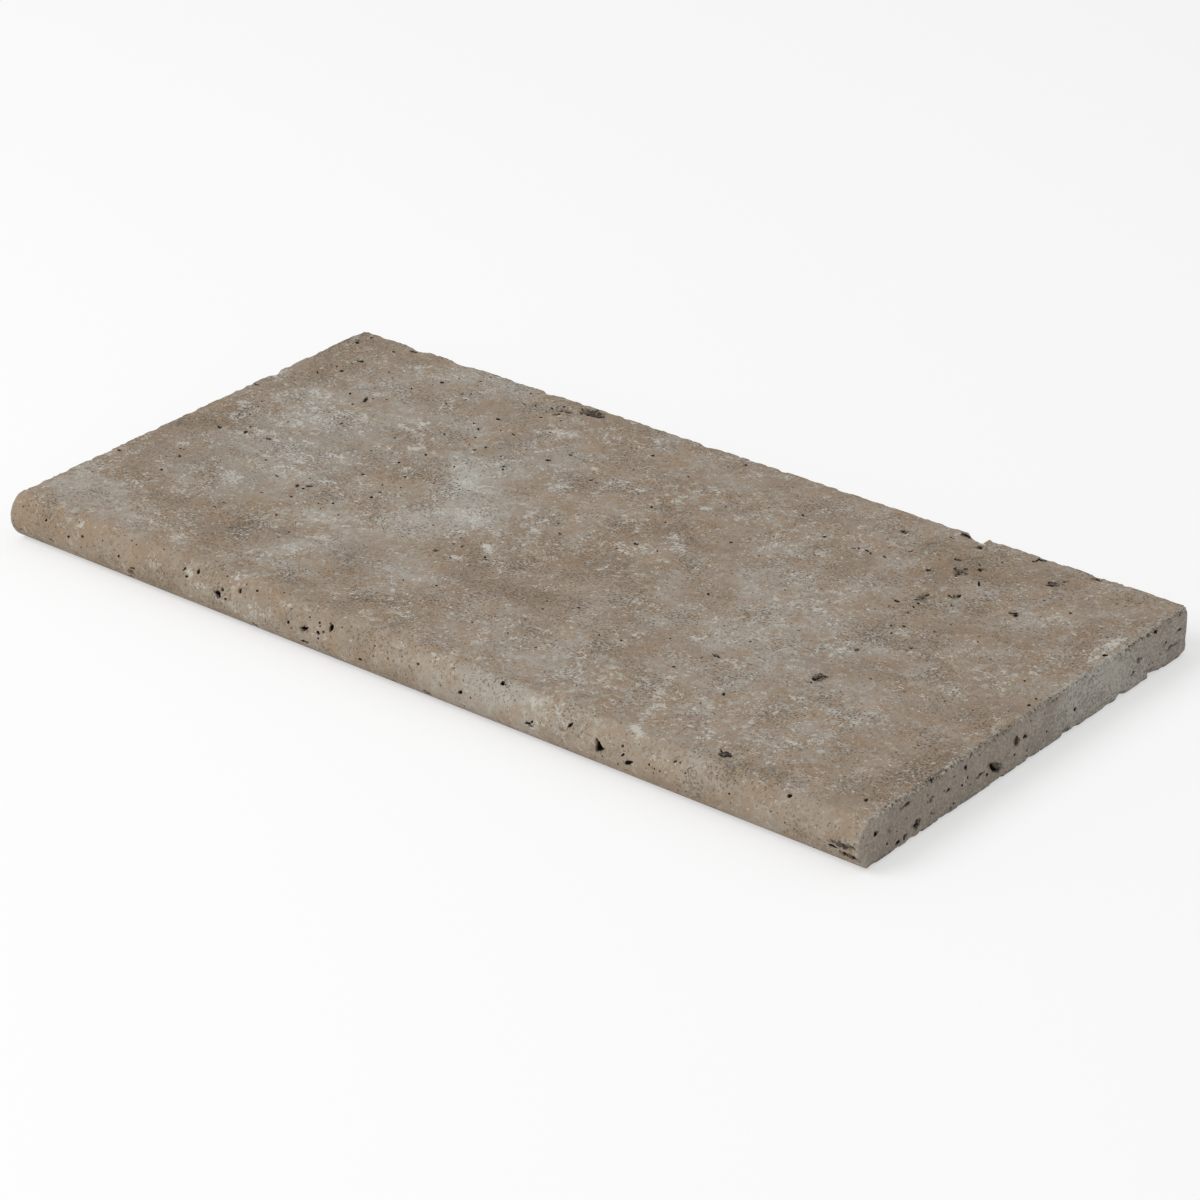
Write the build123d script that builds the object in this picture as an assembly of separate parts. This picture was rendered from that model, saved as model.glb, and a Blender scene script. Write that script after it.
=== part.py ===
from build123d import *
from math import cos, radians, sin, sqrt
import os

# One unit of pool coping: a flat slab of travertine, sawn, rounded along one long edge and tumbled.
# It lies flat. X runs along it, the rounded nose faces -Y, and the bed is at Z = 0, with the origin
# at the middle of the bed's bounding rectangle. Sizes are in millimetres.
LENGTH = 610.0
WIDTH = 305.0
THICKNESS = 28.5

# The nose is one arc about mid thickness, and stands out this far past the front of both flats.
NOSE_DEPTH = 10.3

# Tumbling wears every sawn arris to a small bevel, and rounds the back corners.
ARRIS_BEVEL = 1.3
RIGHT_CORNER_RADIUS = 5.0
LEFT_CORNER_RADIUS = 3.0

# Small flakes that tumbling breaks off along every sawn arris. Some lean towards one face.
FLAKE_SPACING = 15.0
FLAKE_WIDTH = 7.0
FLAKE_DEPTH = 0.7
FLAKE_LEAN = 0.5

# A pore's floor is this share of its mouth, and its cutter stands this far out of the face.
PORE_TAPER = 0.55
PORE_SPILL = 2.0

# Numbers whose multiples spread evenly over 0 to 1 without repeating.
GOLDEN = 0.618034
SILVER = 0.414214
BRONZE = 0.302776

TOP = THICKNESS
MIDDLE = THICKNESS / 2
RIGHT = LENGTH / 2
LEFT = -LENGTH / 2
BACK = WIDTH / 2
FRONT = -WIDTH / 2
FLAT_FRONT = FRONT + NOSE_DEPTH

NOSE_RADIUS = (MIDDLE**2 + NOSE_DEPTH**2) / (2 * NOSE_DEPTH)
NOSE_CENTRE = Vector(0, FRONT + NOSE_RADIUS, MIDDLE)

# How far the bevel lies inside the sharp arris that it replaces.
BEVEL_SETBACK = ARRIS_BEVEL / sqrt(2)

TOP_FACE = Plane(origin=(0, 0, TOP), x_dir=(1, 0, 0), z_dir=(0, 0, 1))
RIGHT_FACE = Plane(origin=(RIGHT, 0, MIDDLE), x_dir=(0, 1, 0), z_dir=(1, 0, 0))


def nose_face(angle):
    """The plane that touches the nose this many degrees above mid thickness."""
    outward = Vector(0, -cos(radians(angle)), sin(radians(angle)))
    return Plane(origin=NOSE_CENTRE + outward * NOSE_RADIUS, x_dir=(1, 0, 0), z_dir=outward)


def sawn_slab():
    """The slab before its chips: what the cross-section, the long section and the plan all contain."""
    section = make_face(
        Polyline((FLAT_FRONT, 0), (BACK, 0), (BACK, TOP), (FLAT_FRONT, TOP))
        + ThreePointArc((FLAT_FRONT, TOP), (FRONT, MIDDLE), (FLAT_FRONT, 0))
    )
    section = chamfer(section.vertices().group_by(Axis.X)[-1], ARRIS_BEVEL)
    long_section = Rectangle(LENGTH, THICKNESS)
    long_section = chamfer(long_section.vertices(), ARRIS_BEVEL)
    plan = Rectangle(LENGTH, WIDTH)
    right_corner = plan.vertices().group_by(Axis.Y)[-1].sort_by(Axis.X)[-1]
    plan = fillet(right_corner, RIGHT_CORNER_RADIUS)
    left_corner = plan.vertices().group_by(Axis.Y)[-1].sort_by(Axis.X)[0]
    plan = fillet(left_corner, LEFT_CORNER_RADIUS)
    nosed = extrude(Plane.YZ * section, amount=LENGTH / 2, both=True)
    ended = extrude(Plane.XZ * Pos(0, MIDDLE) * long_section, amount=WIDTH / 2, both=True)
    return nosed & ended & extrude(plan, amount=THICKNESS)


def flake(corner, outward, along, width, depth):
    """A ball that cuts a shell-shaped chip this wide and deep into a worn arris.

    corner is a point of the sharp arris. The ball's poles lie along it and its seam outward,
    clear of the stone.
    """
    radius = (width**2 / 4 + depth**2) / (2 * depth)
    centre = corner + outward.normalized() * (radius - depth - BEVEL_SETBACK)
    return Plane(origin=centre, x_dir=outward, z_dir=along) * Sphere(radius)


def stepped_flake(corner, outward, along, width, depth):
    """Half a flake: it deepens along the arris to the corner, and stops there at a steep step."""
    whole = flake(corner, outward, along, 2 * width, depth)
    return split(whole, bisect_by=Plane(origin=corner, z_dir=along), keep=Keep.BOTTOM)


def spread(index, ratio):
    """The numbers 0 to 1 in an order that looks like chance."""
    return (index + 1) * ratio % 1.0


def small_flakes(start, end, outward, side, first):
    """Flakes at uneven places along one arris, some leaning to the side and some away from it."""
    run = end - start
    along = run.normalized()
    count = max(1, round(run.length / FLAKE_SPACING))
    flakes = []
    for i in range(count):
        draw = first + i
        place = (i + 0.15 + 0.7 * spread(draw, GOLDEN)) / count
        width = FLAKE_WIDTH * (0.5 + spread(draw, SILVER))
        depth = FLAKE_DEPTH * (0.4 + 1.2 * spread(draw, BRONZE))
        lean = side * FLAKE_LEAN * (2 * spread(draw, GOLDEN * SILVER) - 1)
        flakes.append(flake(start + run * place, outward + lean, along, width, depth))
    return flakes


def tumbled_arrises():
    """The small flakes of every arris between two sawn faces. The nose has none."""
    flakes = []
    for height, up in ((TOP, 1), (0, -1)):
        back_left = Vector(LEFT, BACK, height)
        back_right = Vector(RIGHT, BACK, height)
        front_left = Vector(LEFT, FLAT_FRONT, height)
        front_right = Vector(RIGHT, FLAT_FRONT, height)
        tilt = Vector(0, 0, up)
        flakes += small_flakes(back_left, back_right, Vector(0, 1, up), tilt, len(flakes))
        flakes += small_flakes(front_right, back_right, Vector(1, 0, up), tilt, len(flakes))
        flakes += small_flakes(back_left, front_left, Vector(-1, 0, up), tilt, len(flakes))
    return flakes


def back_edge_chips():
    """The larger breaks of the back top arris, from left to right."""
    out = Vector(0, 1, 1)
    right = Vector(1, 0, 0)
    return [
        flake(Vector(LEFT + 49, BACK, TOP), out, right, 15, 2.4),
        flake(Vector(LEFT + 84, BACK, TOP), out, right, 19, 2.0),
        flake(Vector(LEFT + 154, BACK, TOP), out, right, 10, 2.2),
        flake(Vector(-29, BACK, TOP), out, right, 11, 1.9),
        flake(Vector(RIGHT - 140, BACK, TOP), Vector(0, 1, 1.4), right, 9, 2.0),
        stepped_flake(Vector(RIGHT - 133, BACK, TOP), Vector(0, 1, 0.7), right, 14, 6.0),
        flake(Vector(RIGHT - 92, BACK, TOP), out, right, 6, 1.2),
        flake(Vector(RIGHT - 59, BACK, TOP), out, right, 9, 1.8),
    ]


def end_chips():
    """The larger breaks of the left end's top arris, and of the right end's lower and top arrises."""
    left_out = Vector(-1, 0, 1)
    low_out = Vector(1, 0, -1)
    top_out = Vector(1, 0, 1)
    back = Vector(0, 1, 0)
    front = Vector(0, -1, 0)
    up = Vector(0, 0, 1)
    corner_inset = 0.2 * RIGHT_CORNER_RADIUS
    return [
        flake(Vector(LEFT, FRONT + 80, TOP), left_out, back, 7, 1.2),
        flake(Vector(LEFT, BACK - 104, TOP), left_out, back, 6, 1.3),
        flake(Vector(LEFT, BACK - 83, TOP), left_out, back, 11, 2.8),
        flake(Vector(RIGHT, FRONT + 54, 0), low_out, back, 5, 1.4),
        flake(Vector(RIGHT, FRONT + 71, 0), low_out, back, 6, 1.5),
        flake(Vector(RIGHT, FRONT + 125, 0), low_out, back, 6, 1.3),
        stepped_flake(Vector(RIGHT, FRONT + 181, 0), low_out, front, 10, 1.6),
        flake(Vector(RIGHT, BACK - 67, 0), low_out, back, 10, 2.9),
        stepped_flake(Vector(RIGHT, BACK - 41, 0), low_out, front, 14, 2.8),
        flake(Vector(RIGHT, BACK - 95, TOP - 2), Vector(1, 0, 0.5), back, 12, 1.4),
        flake(Vector(RIGHT, BACK - 67, TOP), top_out, back, 21, 1.3),
        flake(Vector(RIGHT - corner_inset, BACK - corner_inset, 0.35 * TOP), Vector(1, 1, 0), up, 9, 0.9),
    ]


def pore(face, centre, outline, depth):
    """A pit in a face that narrows evenly to its floor. The outline's points are offsets from its centre."""

    def ring(height):
        size = 1 + (1 - PORE_TAPER) * height / depth
        points = [(u * size, v * size) for u, v in outline]
        return Pos(centre[0], centre[1], height) * make_face(Polyline(*points, close=True))

    return face * loft([ring(-depth), ring(PORE_SPILL)], ruled=True)


def back_slot():
    """The cavity in the top beside the back edge, where a row of voids has run together."""
    long_void = [(-6.5, -1.6), (-1.0, -2.2), (4.5, -1.4), (7.0, 1.2), (6.0, 3.6), (1.0, 2.6), (-5.5, 2.4)]
    shelf = [(-7.0, -2.4), (2.0, -3.2), (8.0, -2.0), (8.0, 2.6), (1.0, 3.4), (-6.0, 2.2)]
    low_void = [(-3.4, -0.8), (0.6, -2.0), (3.2, -1.0), (3.0, 1.6), (-1.6, 1.4)]
    end_void = [(-1.6, -1.8), (1.0, -1.4), (1.8, 0.8), (0.2, 2.0), (-1.2, 0.6)]
    return [
        pore(TOP_FACE, (RIGHT - 414.0, BACK - 10.0), long_void, 5.0),
        pore(TOP_FACE, (RIGHT - 419.0, BACK - 9.0), shelf, 2.2),
        pore(TOP_FACE, (RIGHT - 430.0, BACK - 15.5), low_void, 4.0),
        pore(TOP_FACE, (RIGHT - 433.0, BACK - 22.5), end_void, 3.0),
    ]


def top_pores():
    """The five pores that show most in the top. Two of them are groups of voids."""
    slit = [(-2.2, 4.0), (-0.6, 3.4), (1.6, -0.6), (2.2, -3.4), (0.6, -3.2), (-1.4, 0.6)]
    drop = [(-1.2, 1.7), (0.2, 1.5), (1.3, -1.2), (0.6, -1.8), (-0.9, -0.4)]
    wedge = [(-1.5, 1.7), (0.1, 1.6), (1.5, -2.2), (0.3, -1.0), (-1.2, 0.4)]
    oval = [(-1.9, 0.9), (-0.4, 1.4), (1.4, 0.2), (1.9, -1.3), (0.2, -1.0), (-1.5, 0.0)]
    round_void = [(-1.4, 0.6), (-0.4, 1.6), (1.0, 1.2), (1.5, -0.4), (0.6, -1.6), (-0.9, -1.3)]
    return [
        pore(TOP_FACE, (LEFT + 72.0, BACK - 77.5), slit, 5.0),
        pore(TOP_FACE, (LEFT + 70.4, BACK - 87.2), drop, 4.0),
        pore(TOP_FACE, (LEFT + 27.0, BACK - 141.0), wedge, 3.5),
        pore(TOP_FACE, (-22.8, BACK - 145.0), oval, 4.5),
        pore(TOP_FACE, (RIGHT - 112.6, BACK - 153.8), round_void, 4.5),
        pore(TOP_FACE, (RIGHT - 127.2, BACK - 42.4), drop, 3.8),
        pore(TOP_FACE, (RIGHT - 121.8, BACK - 46.4), drop, 3.4),
        pore(TOP_FACE, (RIGHT - 121.8, BACK - 49.2), drop, 3.0),
    ]


def nose_pores():
    """The four pores that show most in the nose: a three-cornered one, two long ones and a shallow one."""
    three_cornered = [(-3.6, 4.6), (-1.4, 3.6), (3.4, -0.2), (1.0, -2.0), (-2.8, -4.0), (-2.2, 0.4)]
    long_void = [(-3.4, -0.6), (-1.2, 1.0), (3.2, 1.8), (1.6, -0.4), (-0.6, -1.2)]
    tall_void = [(-1.2, 1.8), (0.4, 2.2), (1.3, 0.6), (0.6, -1.4), (-0.2, -2.6), (-1.2, -0.2)]
    shallow_void = [(-2.6, 1.4), (0.0, 2.2), (1.4, 0.0), (2.4, -2.4), (-0.4, -1.8)]
    return [
        pore(nose_face(7.0), (RIGHT - 167.2, 0), three_cornered, 6.0),
        pore(nose_face(11.0), (-72.2, 0), long_void, 4.2),
        pore(nose_face(35.0), (-53.8, 0), tall_void, 4.2),
        pore(nose_face(11.0), (LEFT + 167.4, 0), shallow_void, 2.4),
    ]


def end_pores():
    """The three pores that show most in the right end."""
    tailed = [(-2.4, 3.4), (0.6, 3.0), (2.4, -0.4), (6.4, -4.2), (5.6, -5.0), (0.8, -2.4), (-1.2, 0.2)]
    upright = [(-1.2, 2.8), (0.8, 3.0), (1.2, -0.6), (0.4, -3.2), (-1.6, -1.6), (-0.6, 0.4)]
    low_void = [(-1.8, 1.2), (0.4, 1.2), (3.8, 0.8), (3.6, -0.4), (0.8, -1.0), (-1.0, -1.6)]
    return [
        pore(RIGHT_FACE, (-36.4, -3.4), tailed, 5.5),
        pore(RIGHT_FACE, (-14.4, 3.0), upright, 5.0),
        pore(RIGHT_FACE, (FRONT + 49.0, -7.2), low_void, 4.0),
    ]


def coping_stone():
    """The finished unit."""
    worn = sawn_slab() - tumbled_arrises()
    chipped = worn - back_edge_chips() - end_chips()
    return chipped - back_slot() - top_pores() - nose_pores() - end_pores()


os.makedirs("parts", exist_ok=True)
export_step(coping_stone(), "parts/coping_stone.step")
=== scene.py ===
from math import asin, cos, pi, radians, sin

import bpy
import numpy as np
from mathutils import Matrix, Vector


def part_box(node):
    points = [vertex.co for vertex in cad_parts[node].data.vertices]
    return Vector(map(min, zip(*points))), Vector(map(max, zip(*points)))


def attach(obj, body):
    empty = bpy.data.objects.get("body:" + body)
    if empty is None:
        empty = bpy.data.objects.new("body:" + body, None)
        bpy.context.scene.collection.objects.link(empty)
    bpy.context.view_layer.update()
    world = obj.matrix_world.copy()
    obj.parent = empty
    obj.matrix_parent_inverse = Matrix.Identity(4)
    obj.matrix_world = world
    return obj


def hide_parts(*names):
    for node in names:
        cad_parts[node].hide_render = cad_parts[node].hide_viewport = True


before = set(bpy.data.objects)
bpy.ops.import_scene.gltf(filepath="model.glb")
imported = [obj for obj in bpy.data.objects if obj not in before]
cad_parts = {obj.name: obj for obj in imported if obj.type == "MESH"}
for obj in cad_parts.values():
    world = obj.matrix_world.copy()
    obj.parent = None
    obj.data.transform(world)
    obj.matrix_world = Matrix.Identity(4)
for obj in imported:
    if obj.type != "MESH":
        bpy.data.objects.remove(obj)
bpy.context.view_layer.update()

# Lengths below are in millimetres, and become metres where a mesh, a node or an object takes them.
MM = 0.001

# The stone's faces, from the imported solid.
low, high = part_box("coping_stone")
LEFT, FRONT, BED = (value / MM for value in low)
RIGHT, BACK, TOP = (value / MM for value in high)
MIDDLE = (BED + TOP) / 2

# The nose is one arc about mid thickness, and stands out this far past the front of both flats.
NOSE_DEPTH = 10.3
FLAT_FRONT = FRONT + NOSE_DEPTH
NOSE_RADIUS = (MIDDLE**2 + NOSE_DEPTH**2) / (2 * NOSE_DEPTH)
NOSE_CENTRE = FRONT + NOSE_RADIUS
NOSE_ANGLE = asin(MIDDLE / NOSE_RADIUS)

# The worn arrises and the corners of the plan.
ARRIS = 1.3
RIGHT_CORNER = 5.0
LEFT_CORNER = 3.0

# The quarter turn round an arris, in steps.
QUARTER = np.linspace(0, pi / 2, 4, endpoint=False)

# Spacing of the skin's points, and how many triangles are kept of it.
SPACING = 0.62
TRIANGLES = 190_000

# The skin starts this far outside the plain slab, and is pressed in by at most the second length.
PROUD = 0.3
PRESS_REACH = 12

# A pit's floor as a share of its half width, and how far noise shifts its rim, in the same measure.
PIT_FLOOR = 0.55
RAGGED_RIM = 0.28

# Pits beyond those in the solid. Top: x, y, length, width, turn in degrees, depth.
TOP_PITS = [
    (159, 147.6, 8.5, 2.2, -14, 1.2), (174.5, 139.5, 3.2, 2, -40, 0.7), (128.2, 129.6, 5.8, 2, -14, 1.4),
    (236.4, 84, 2.6, 2.4, 30, 1.6), (233, 84.8, 3.4, 1.6, 10, 1), (235, 86.4, 2.4, 1.4, 60, 0.8),
    (196, -35.4, 7.4, 1.4, -9, 1.3), (195.4, -39.2, 5.6, 1.5, 78, 1.3), (194.6, -42.5, 3.4, 2.2, -38, 1.5),
    (195.2, -46, 2.6, 1.2, -45, 0.8), (204, -133.8, 4.2, 1.2, -35, 1), (208.8, -136.4, 4.6, 1.4, 58, 1),
    (205.8, -137.2, 3.6, 1.2, -15, 1), (210.8, -134.8, 3, 1.2, -55, 0.9), (206.8, -133, 2.6, 1, 30, 0.8),
    (-273.3, 115.2, 4.2, 2.6, -20, 1.7), (231.6, 125.4, 3, 1.8, -30, 1.3), (228.6, 127.6, 4, 1.3, -60, 0.9),
    (229.6, 124.6, 2.6, 1.2, 0, 0.8), (235, 134.4, 4.2, 1.3, 60, 0.8), (236.2, 131, 3.4, 1.2, -20, 0.8),
    (137.7, -53.5, 7, 1.6, -8, 1.3), (189.6, 117, 3.8, 1.5, -32, 1.6), (198.9, 84, 4.4, 2.2, -62, 1.9),
    (195.6, 80.6, 5.6, 1.4, -18, 1.1), (199, 102.8, 6, 1.4, -52, 1.1), (182.8, 113, 2.4, 2, 0, 1.1),
    (186.4, 108.2, 2.2, 1.8, 0, 0.7), (186.2, 122, 3.6, 1.2, -35, 0.7), (172.4, 119.8, 5, 2.6, 20, 0.62),
    (167.4, 99.5, 3, 5, 0, 0.5), (207.6, 145.4, 6, 2, 75, 0.9), (194.2, 132.6, 2.6, 1.2, -60, 0.8),
    (154.2, 140.4, 4, 1.4, -10, 0.8), (238.2, 108.8, 1.6, 1.3, 0, 1.1), (258, 104.8, 2.6, 2.2, 0, 0.8),
    (202.4, 72.3, 2, 1.3, -20, 1.2), (195.6, 71.8, 1.8, 1.4, -20, 0.9), (184.6, 74, 2, 5.5, 0, 0.6),
    (185, 69.4, 1.8, 1.6, 0, 1), (186.4, 63, 2.6, 1.4, -30, 0.9), (-124.2, 136.8, 4.2, 3, 30, 1.5),
    (-128.4, 135.4, 2.2, 2, -40, 1.2), (-127.2, 131.2, 1.8, 3, 10, 1.3), (-128.6, 128.6, 2.8, 1.6, 20, 1.2),
    (-131.4, 141, 3.2, 1.3, -70, 0.9), (-135.6, 134.6, 3, 1.5, -30, 0.8), (-133.8, 137.2, 2, 1.8, 0, 0.7),
    (-135.4, 128.8, 2.8, 1.1, -65, 0.55), (-117.6, 140.4, 5, 1.7, -32, 1.2), (-120.6, 145.2, 2, 1.2, -45, 1),
    (-114.8, 143.6, 4.2, 1.6, -32, 1), (-112.6, 141, 4.4, 2, 5, 1.5), (-107.6, 142.4, 5, 3.4, 10, 1.8),
    (-103.8, 144.8, 2, 3.6, 30, 0.8), (-107.6, 146.6, 1.8, 2, 0, 0.9), (-112.6, 149.8, 3, 1.4, 0, 0.7),
    (-159.6, 143.2, 2.2, 1.5, -40, 1), (-145.8, 131.5, 2.6, 1.3, -50, 1),
    (-153.5, 129.5, 5.5, 1.1, -14, 0.8), (-120.8, 125, 3, 1.8, -30, 0.7), (-275, -8.2, 4.4, 2, -28, 2.4),
    (-272, -44.5, 2.2, 1.5, 0, 1.2), (-269.4, -44.3, 1.5, 1.1, 0, 0.9), (-264.8, -52.3, 2.6, 1.4, -50, 1.2),
    (-273, 15.8, 2, 1.2, -50, 0.9), (-280.6, 34.4, 2.2, 1.2, -50, 0.9), (-257.6, -4, 2.6, 4.6, 20, 0.65),
    (-240.5, -2, 4, 3.4, 0, 0.55), (-221, 40.5, 1.5, 3.2, 15, 0.8), (-182, 45, 3, 1.2, -50, 0.8),
    (-201, -36.3, 5, 1.5, -10, 0.7), (-183, -38.5, 4.6, 2.2, -50, 0.7), (-36.6, -41.2, 3, 1.3, -52, 1),
    (-55.6, -39.2, 2.2, 1.1, -48, 0.9), (-31.8, 17, 2.6, 1.1, -48, 0.9), (-51.4, -53.6, 3.4, 1.2, -32, 0.8),
    (25, -60.4, 2.6, 1.4, -30, 0.8), (14.2, 12.6, 1.8, 1.8, 0, 0.7), (-257.7, 146.2, 8, 2.2, 4, 0.8),
    (-151, 103, 3.2, 2.4, -15, 1.8), (-177, -34.8, 4, 2.2, 35, 1.3), (-64, -52.2, 2.8, 2.2, 20, 1.7),
    (299.7, 75.5, 3, 2.4, 10, 2.4), (-298.7, -68.5, 3.4, 2, 20, 1.2), (299.3, 4.5, 2.6, 1.8, 70, 1.4),
    (118.7, 95.2, 2.8, 1.3, 25, 1.1), (210, 148.5, 5.5, 2.4, 0, 1.2), (248.3, 147.2, 5, 2.2, 2, 0.9),
    (-213, 122.4, 2.6, 3.2, 0, 0.8), (-63, -31, 2.2, 1.4, 20, 1.2), (-34, -43, 2.2, 1.2, 60, 1.1),
    (146, 112, 3.2, 1.3, 70, 1.3), (166.8, -84.4, 3.8, 1.5, -50, 1.5), (-145, -86, 1.8, 1.5, 0, 1.5),
    (-162.3, 67.1, 2.6, 1.7, -50, 1.4), (-131, 68.4, 3.2, 1.5, -55, 1.4), (-158.8, 89.8, 2.5, 1.4, -40, 1),
    (-151.3, 85, 3.6, 1.2, -40, 1), (-144.8, 75, 1.8, 1.8, 0, 0.9), (-141.1, 65.5, 2.4, 1, -60, 0.8),
    (-129.9, 92.3, 4.2, 1.5, -25, 0.8), (-139.2, 91.4, 1.8, 1, -45, 0.8), (-46.2, 120.3, 2.6, 2.2, 0, 1.2),
    (-48.9, 72, 2.3, 1.7, -40, 1.4), (-53.8, 72.5, 3.2, 4, 0, 0.52), (-114.5, 108.2, 2, 1, -55, 0.9),
    (-115.9, 64.6, 2.2, 1, -45, 0.8), (-105.6, 55.3, 5.2, 3.6, 40, 0.58), (-103.5, 52, 3, 1.6, -60, 0.7),
    (-85, 92, 2.4, 4.6, 0, 0.52), (-90.7, 77.7, 4, 3, 0, 0.52), (-134, 61.8, 2.6, 2.2, 0, 0.6),
    (-132.7, 121, 2.5, 1.7, 0, 0.7), (-43, 98.9, 1.8, 1, -45, 0.8), (-246.2, 75.8, 3, 1.6, -35, 1.3),
    (-230.3, 78.7, 2.2, 1.4, -50, 1), (-275.6, 114.6, 3.6, 1.2, -25, 0.9), (-275.3, 109.4, 2.2, 1, -50, 0.8),
    (-279.8, 100.2, 2.8, 1.1, -50, 1), (-282.6, 86, 4.8, 1.2, -30, 1), (-273.3, 97, 4, 3.4, 0, 0.52),
    (-208.4, 133, 1.8, 1.2, -45, 1), (-195.3, 137.9, 2.2, 1.4, -50, 1.2), (-221.5, 104, 2.4, 1.1, -50, 1.1),
    (-249, 114, 3.2, 1.7, -40, 0.65), (-187.9, 120.6, 2.8, 1.6, -30, 0.6),
    (-191.9, 117.3, 2.6, 2.2, 0, 0.52), (-184.9, 112.2, 1.7, 1.5, 0, 0.9),
    (-190.2, 100.5, 3.2, 1.2, -30, 0.7), (-239.7, 90.3, 2, 1.1, -40, 0.8), (-222.9, 82.8, 2.2, 1.7, 0, 0.6),
    (-300.4, 50.2, 5, 1.6, 0, 0.9), (-194.4, 146.3, 1.8, 1.6, 0, 0.8), (-292.6, 146, 2.6, 2.2, 0, 0.6),
    (-277.5, 27.4, 2.6, 1.2, -20, 0.8), (-247.8, 22.9, 1.8, 1.7, 0, 0.9), (-260.7, 3, 2.6, 1.2, -60, 0.7),
    (-232.2, -17.2, 2.8, 1.2, -30, 0.9), (-221.5, -24.4, 2.8, 2.4, 0, 0.55),
    (-260.4, -72, 2.6, 1.8, -40, 0.9), (-177.4, -39.5, 2.2, 1.8, 0, 1.3),
    (-183.7, -26.9, 2.2, 1.1, -45, 0.9), (-175.7, -51.5, 2.4, 1.6, -40, 1.2), (-193, -58, 2.6, 1.3, 30, 0.7),
    (-200.5, -81.3, 3, 1.5, 0, 0.8), (-200.9, -88.3, 2.2, 1.7, 0, 0.8), (-256.5, -86.7, 2, 1.6, 0, 0.8),
    (-165.9, -74.3, 2.2, 1.2, -40, 1), (-181.3, 23.2, 1.9, 1.3, 0, 0.7), (183, 66, 3, 1.2, 40, 1.2),
    (187, 58, 2.4, 1.2, -30, 1.1), (214, 18, 2.4, 1.4, 50, 1), (-267.4, 138.6, 2.6, 1.9, -30, 1.6),
    (-138.7, -23.2, 2.3, 1.9, -50, 1.5), (-152, 38.7, 2.4, 1.5, -45, 1.4),
    (-127.9, 36.8, 2.2, 1.4, -45, 1.3), (-157.4, 21.1, 1.4, 2.6, 10, 1.1),
    (-139.2, -15.1, 2.4, 1.4, -35, 1.3), (-150.4, -43.3, 2.5, 1.4, -40, 1.2),
    (-137.7, -52.4, 2.3, 1.1, -55, 1), (-151.7, -52.8, 1.8, 1.1, -45, 1), (-157.2, -48.2, 1.8, 1.1, -45, 1),
    (-141.7, 8.9, 1.9, 1.3, -45, 1), (-122.8, 13.1, 1.9, 1.1, -50, 0.9), (-128, 49.6, 1.7, 1.1, -45, 0.9),
    (-95, 42.3, 1.7, 1.1, -50, 0.8), (-105.6, 15.7, 1.9, 1.1, -45, 0.8), (-133.8, -3.6, 1.9, 1, -45, 0.8),
    (-144.8, -7.3, 2.8, 1, -50, 0.9), (-163.2, -3.9, 2.2, 2.2, 0, 0.62), (-86.6, -28.7, 2, 1, -60, 0.9),
    (-61.7, -39.4, 1.9, 1.3, -45, 1.1), (-294.4, 134.8, 3.8, 2.4, -30, 1), (190.5, 32.5, 2.2, 1.2, -50, 1.2),
    (195.5, 25.5, 2.2, 1.1, -50, 1), (213, 41, 2, 1.2, -45, 0.8), (188, 51, 2.4, 1.3, -50, 0.9),
    (178.8, 51, 1.8, 1.4, 0, 0.8), (175.5, 58, 4.5, 2.5, -20, 0.8), (176, 50.5, 1.8, 1.6, 0, 0.8),
    (298.5, 12.5, 2.6, 1.3, -40, 1.3), (282.5, 25.2, 2, 1.3, -60, 0.8), (237.8, 46.2, 2.4, 0.9, -50, 0.8),
    (142, -29.2, 1.9, 0.9, -50, 0.9), (196, 36.5, 3.2, 2.6, 0, 0.55), (262.5, -19.5, 1.8, 0.9, -50, 0.8),
    (217.5, -23, 2.4, 1.3, -60, 0.7), (89.6, 0.8, 2.6, 1.5, -50, 1), (19.4, 24, 3.6, 2.2, -10, 0.75),
    (15.2, 55.8, 2.4, 1.4, -50, 0.8), (60, 58.8, 1.8, 2.6, 0, 0.8), (82.8, 55.2, 2.2, 1, -45, 0.8),
    (106, -53.2, 2.2, 1.1, -50, 0.9), (34.3, 24.6, 2, 1.1, -50, 0.7), (44, -55.6, 2.6, 1.6, 20, 0.8),
    (9.5, -105, 2.6, 1.3, -45, 0.8), (33, -102.4, 2.2, 1.1, -45, 0.8), (55.2, -105.4, 1.6, 3.2, 20, 0.6),
    (73.2, -73.8, 2, 1.1, -45, 0.9), (86.6, -71.4, 2.4, 1.2, -45, 0.9), (41.8, -58.4, 1.9, 1.2, -60, 0.9),
    (29.4, -69, 2.8, 2, -50, 0.7), (-34.5, -84.3, 1.8, 1.2, -40, 0.8), (-54, -90.2, 2, 1.1, -45, 0.8),
    (132.5, -59.8, 2, 1.2, -50, 0.7), (291.5, -128, 2.2, 3.6, 20, 0.9), (279, -66.2, 1.8, 1.6, 0, 0.7),
    (163.8, -100, 1.8, 1, -40, 0.8), (285.5, -84.5, 1.8, 1, -40, 0.8), (127, -77, 2.8, 1.4, 0, 0.6),
    (121, 97, 2.2, 1.2, -45, 0.9), (126.5, 97.6, 4.4, 1.6, -15, 0.8), (130, 96.2, 2.2, 1.2, -45, 0.9),
    (97, 97, 3, 3, 0, 0.6), (138.4, 97.8, 2.4, 1.6, -30, 1), (134, 108.8, 1.6, 1.4, 0, 1),
    (71, 111.5, 2.6, 1.4, -45, 0.7), (4.8, 143.8, 3.2, 1.3, -30, 0.8), (-2.4, 136.2, 2.4, 1, -50, 0.9),
    (-3.5, 66, 3, 2.4, 0, 0.6), (127, 116.8, 2.2, 1, -45, 0.7), (-12, 111, 3, 1.4, -30, 0.6),
    (106.5, 75.5, 2.2, 1.6, 0, 0.7),
]
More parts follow.
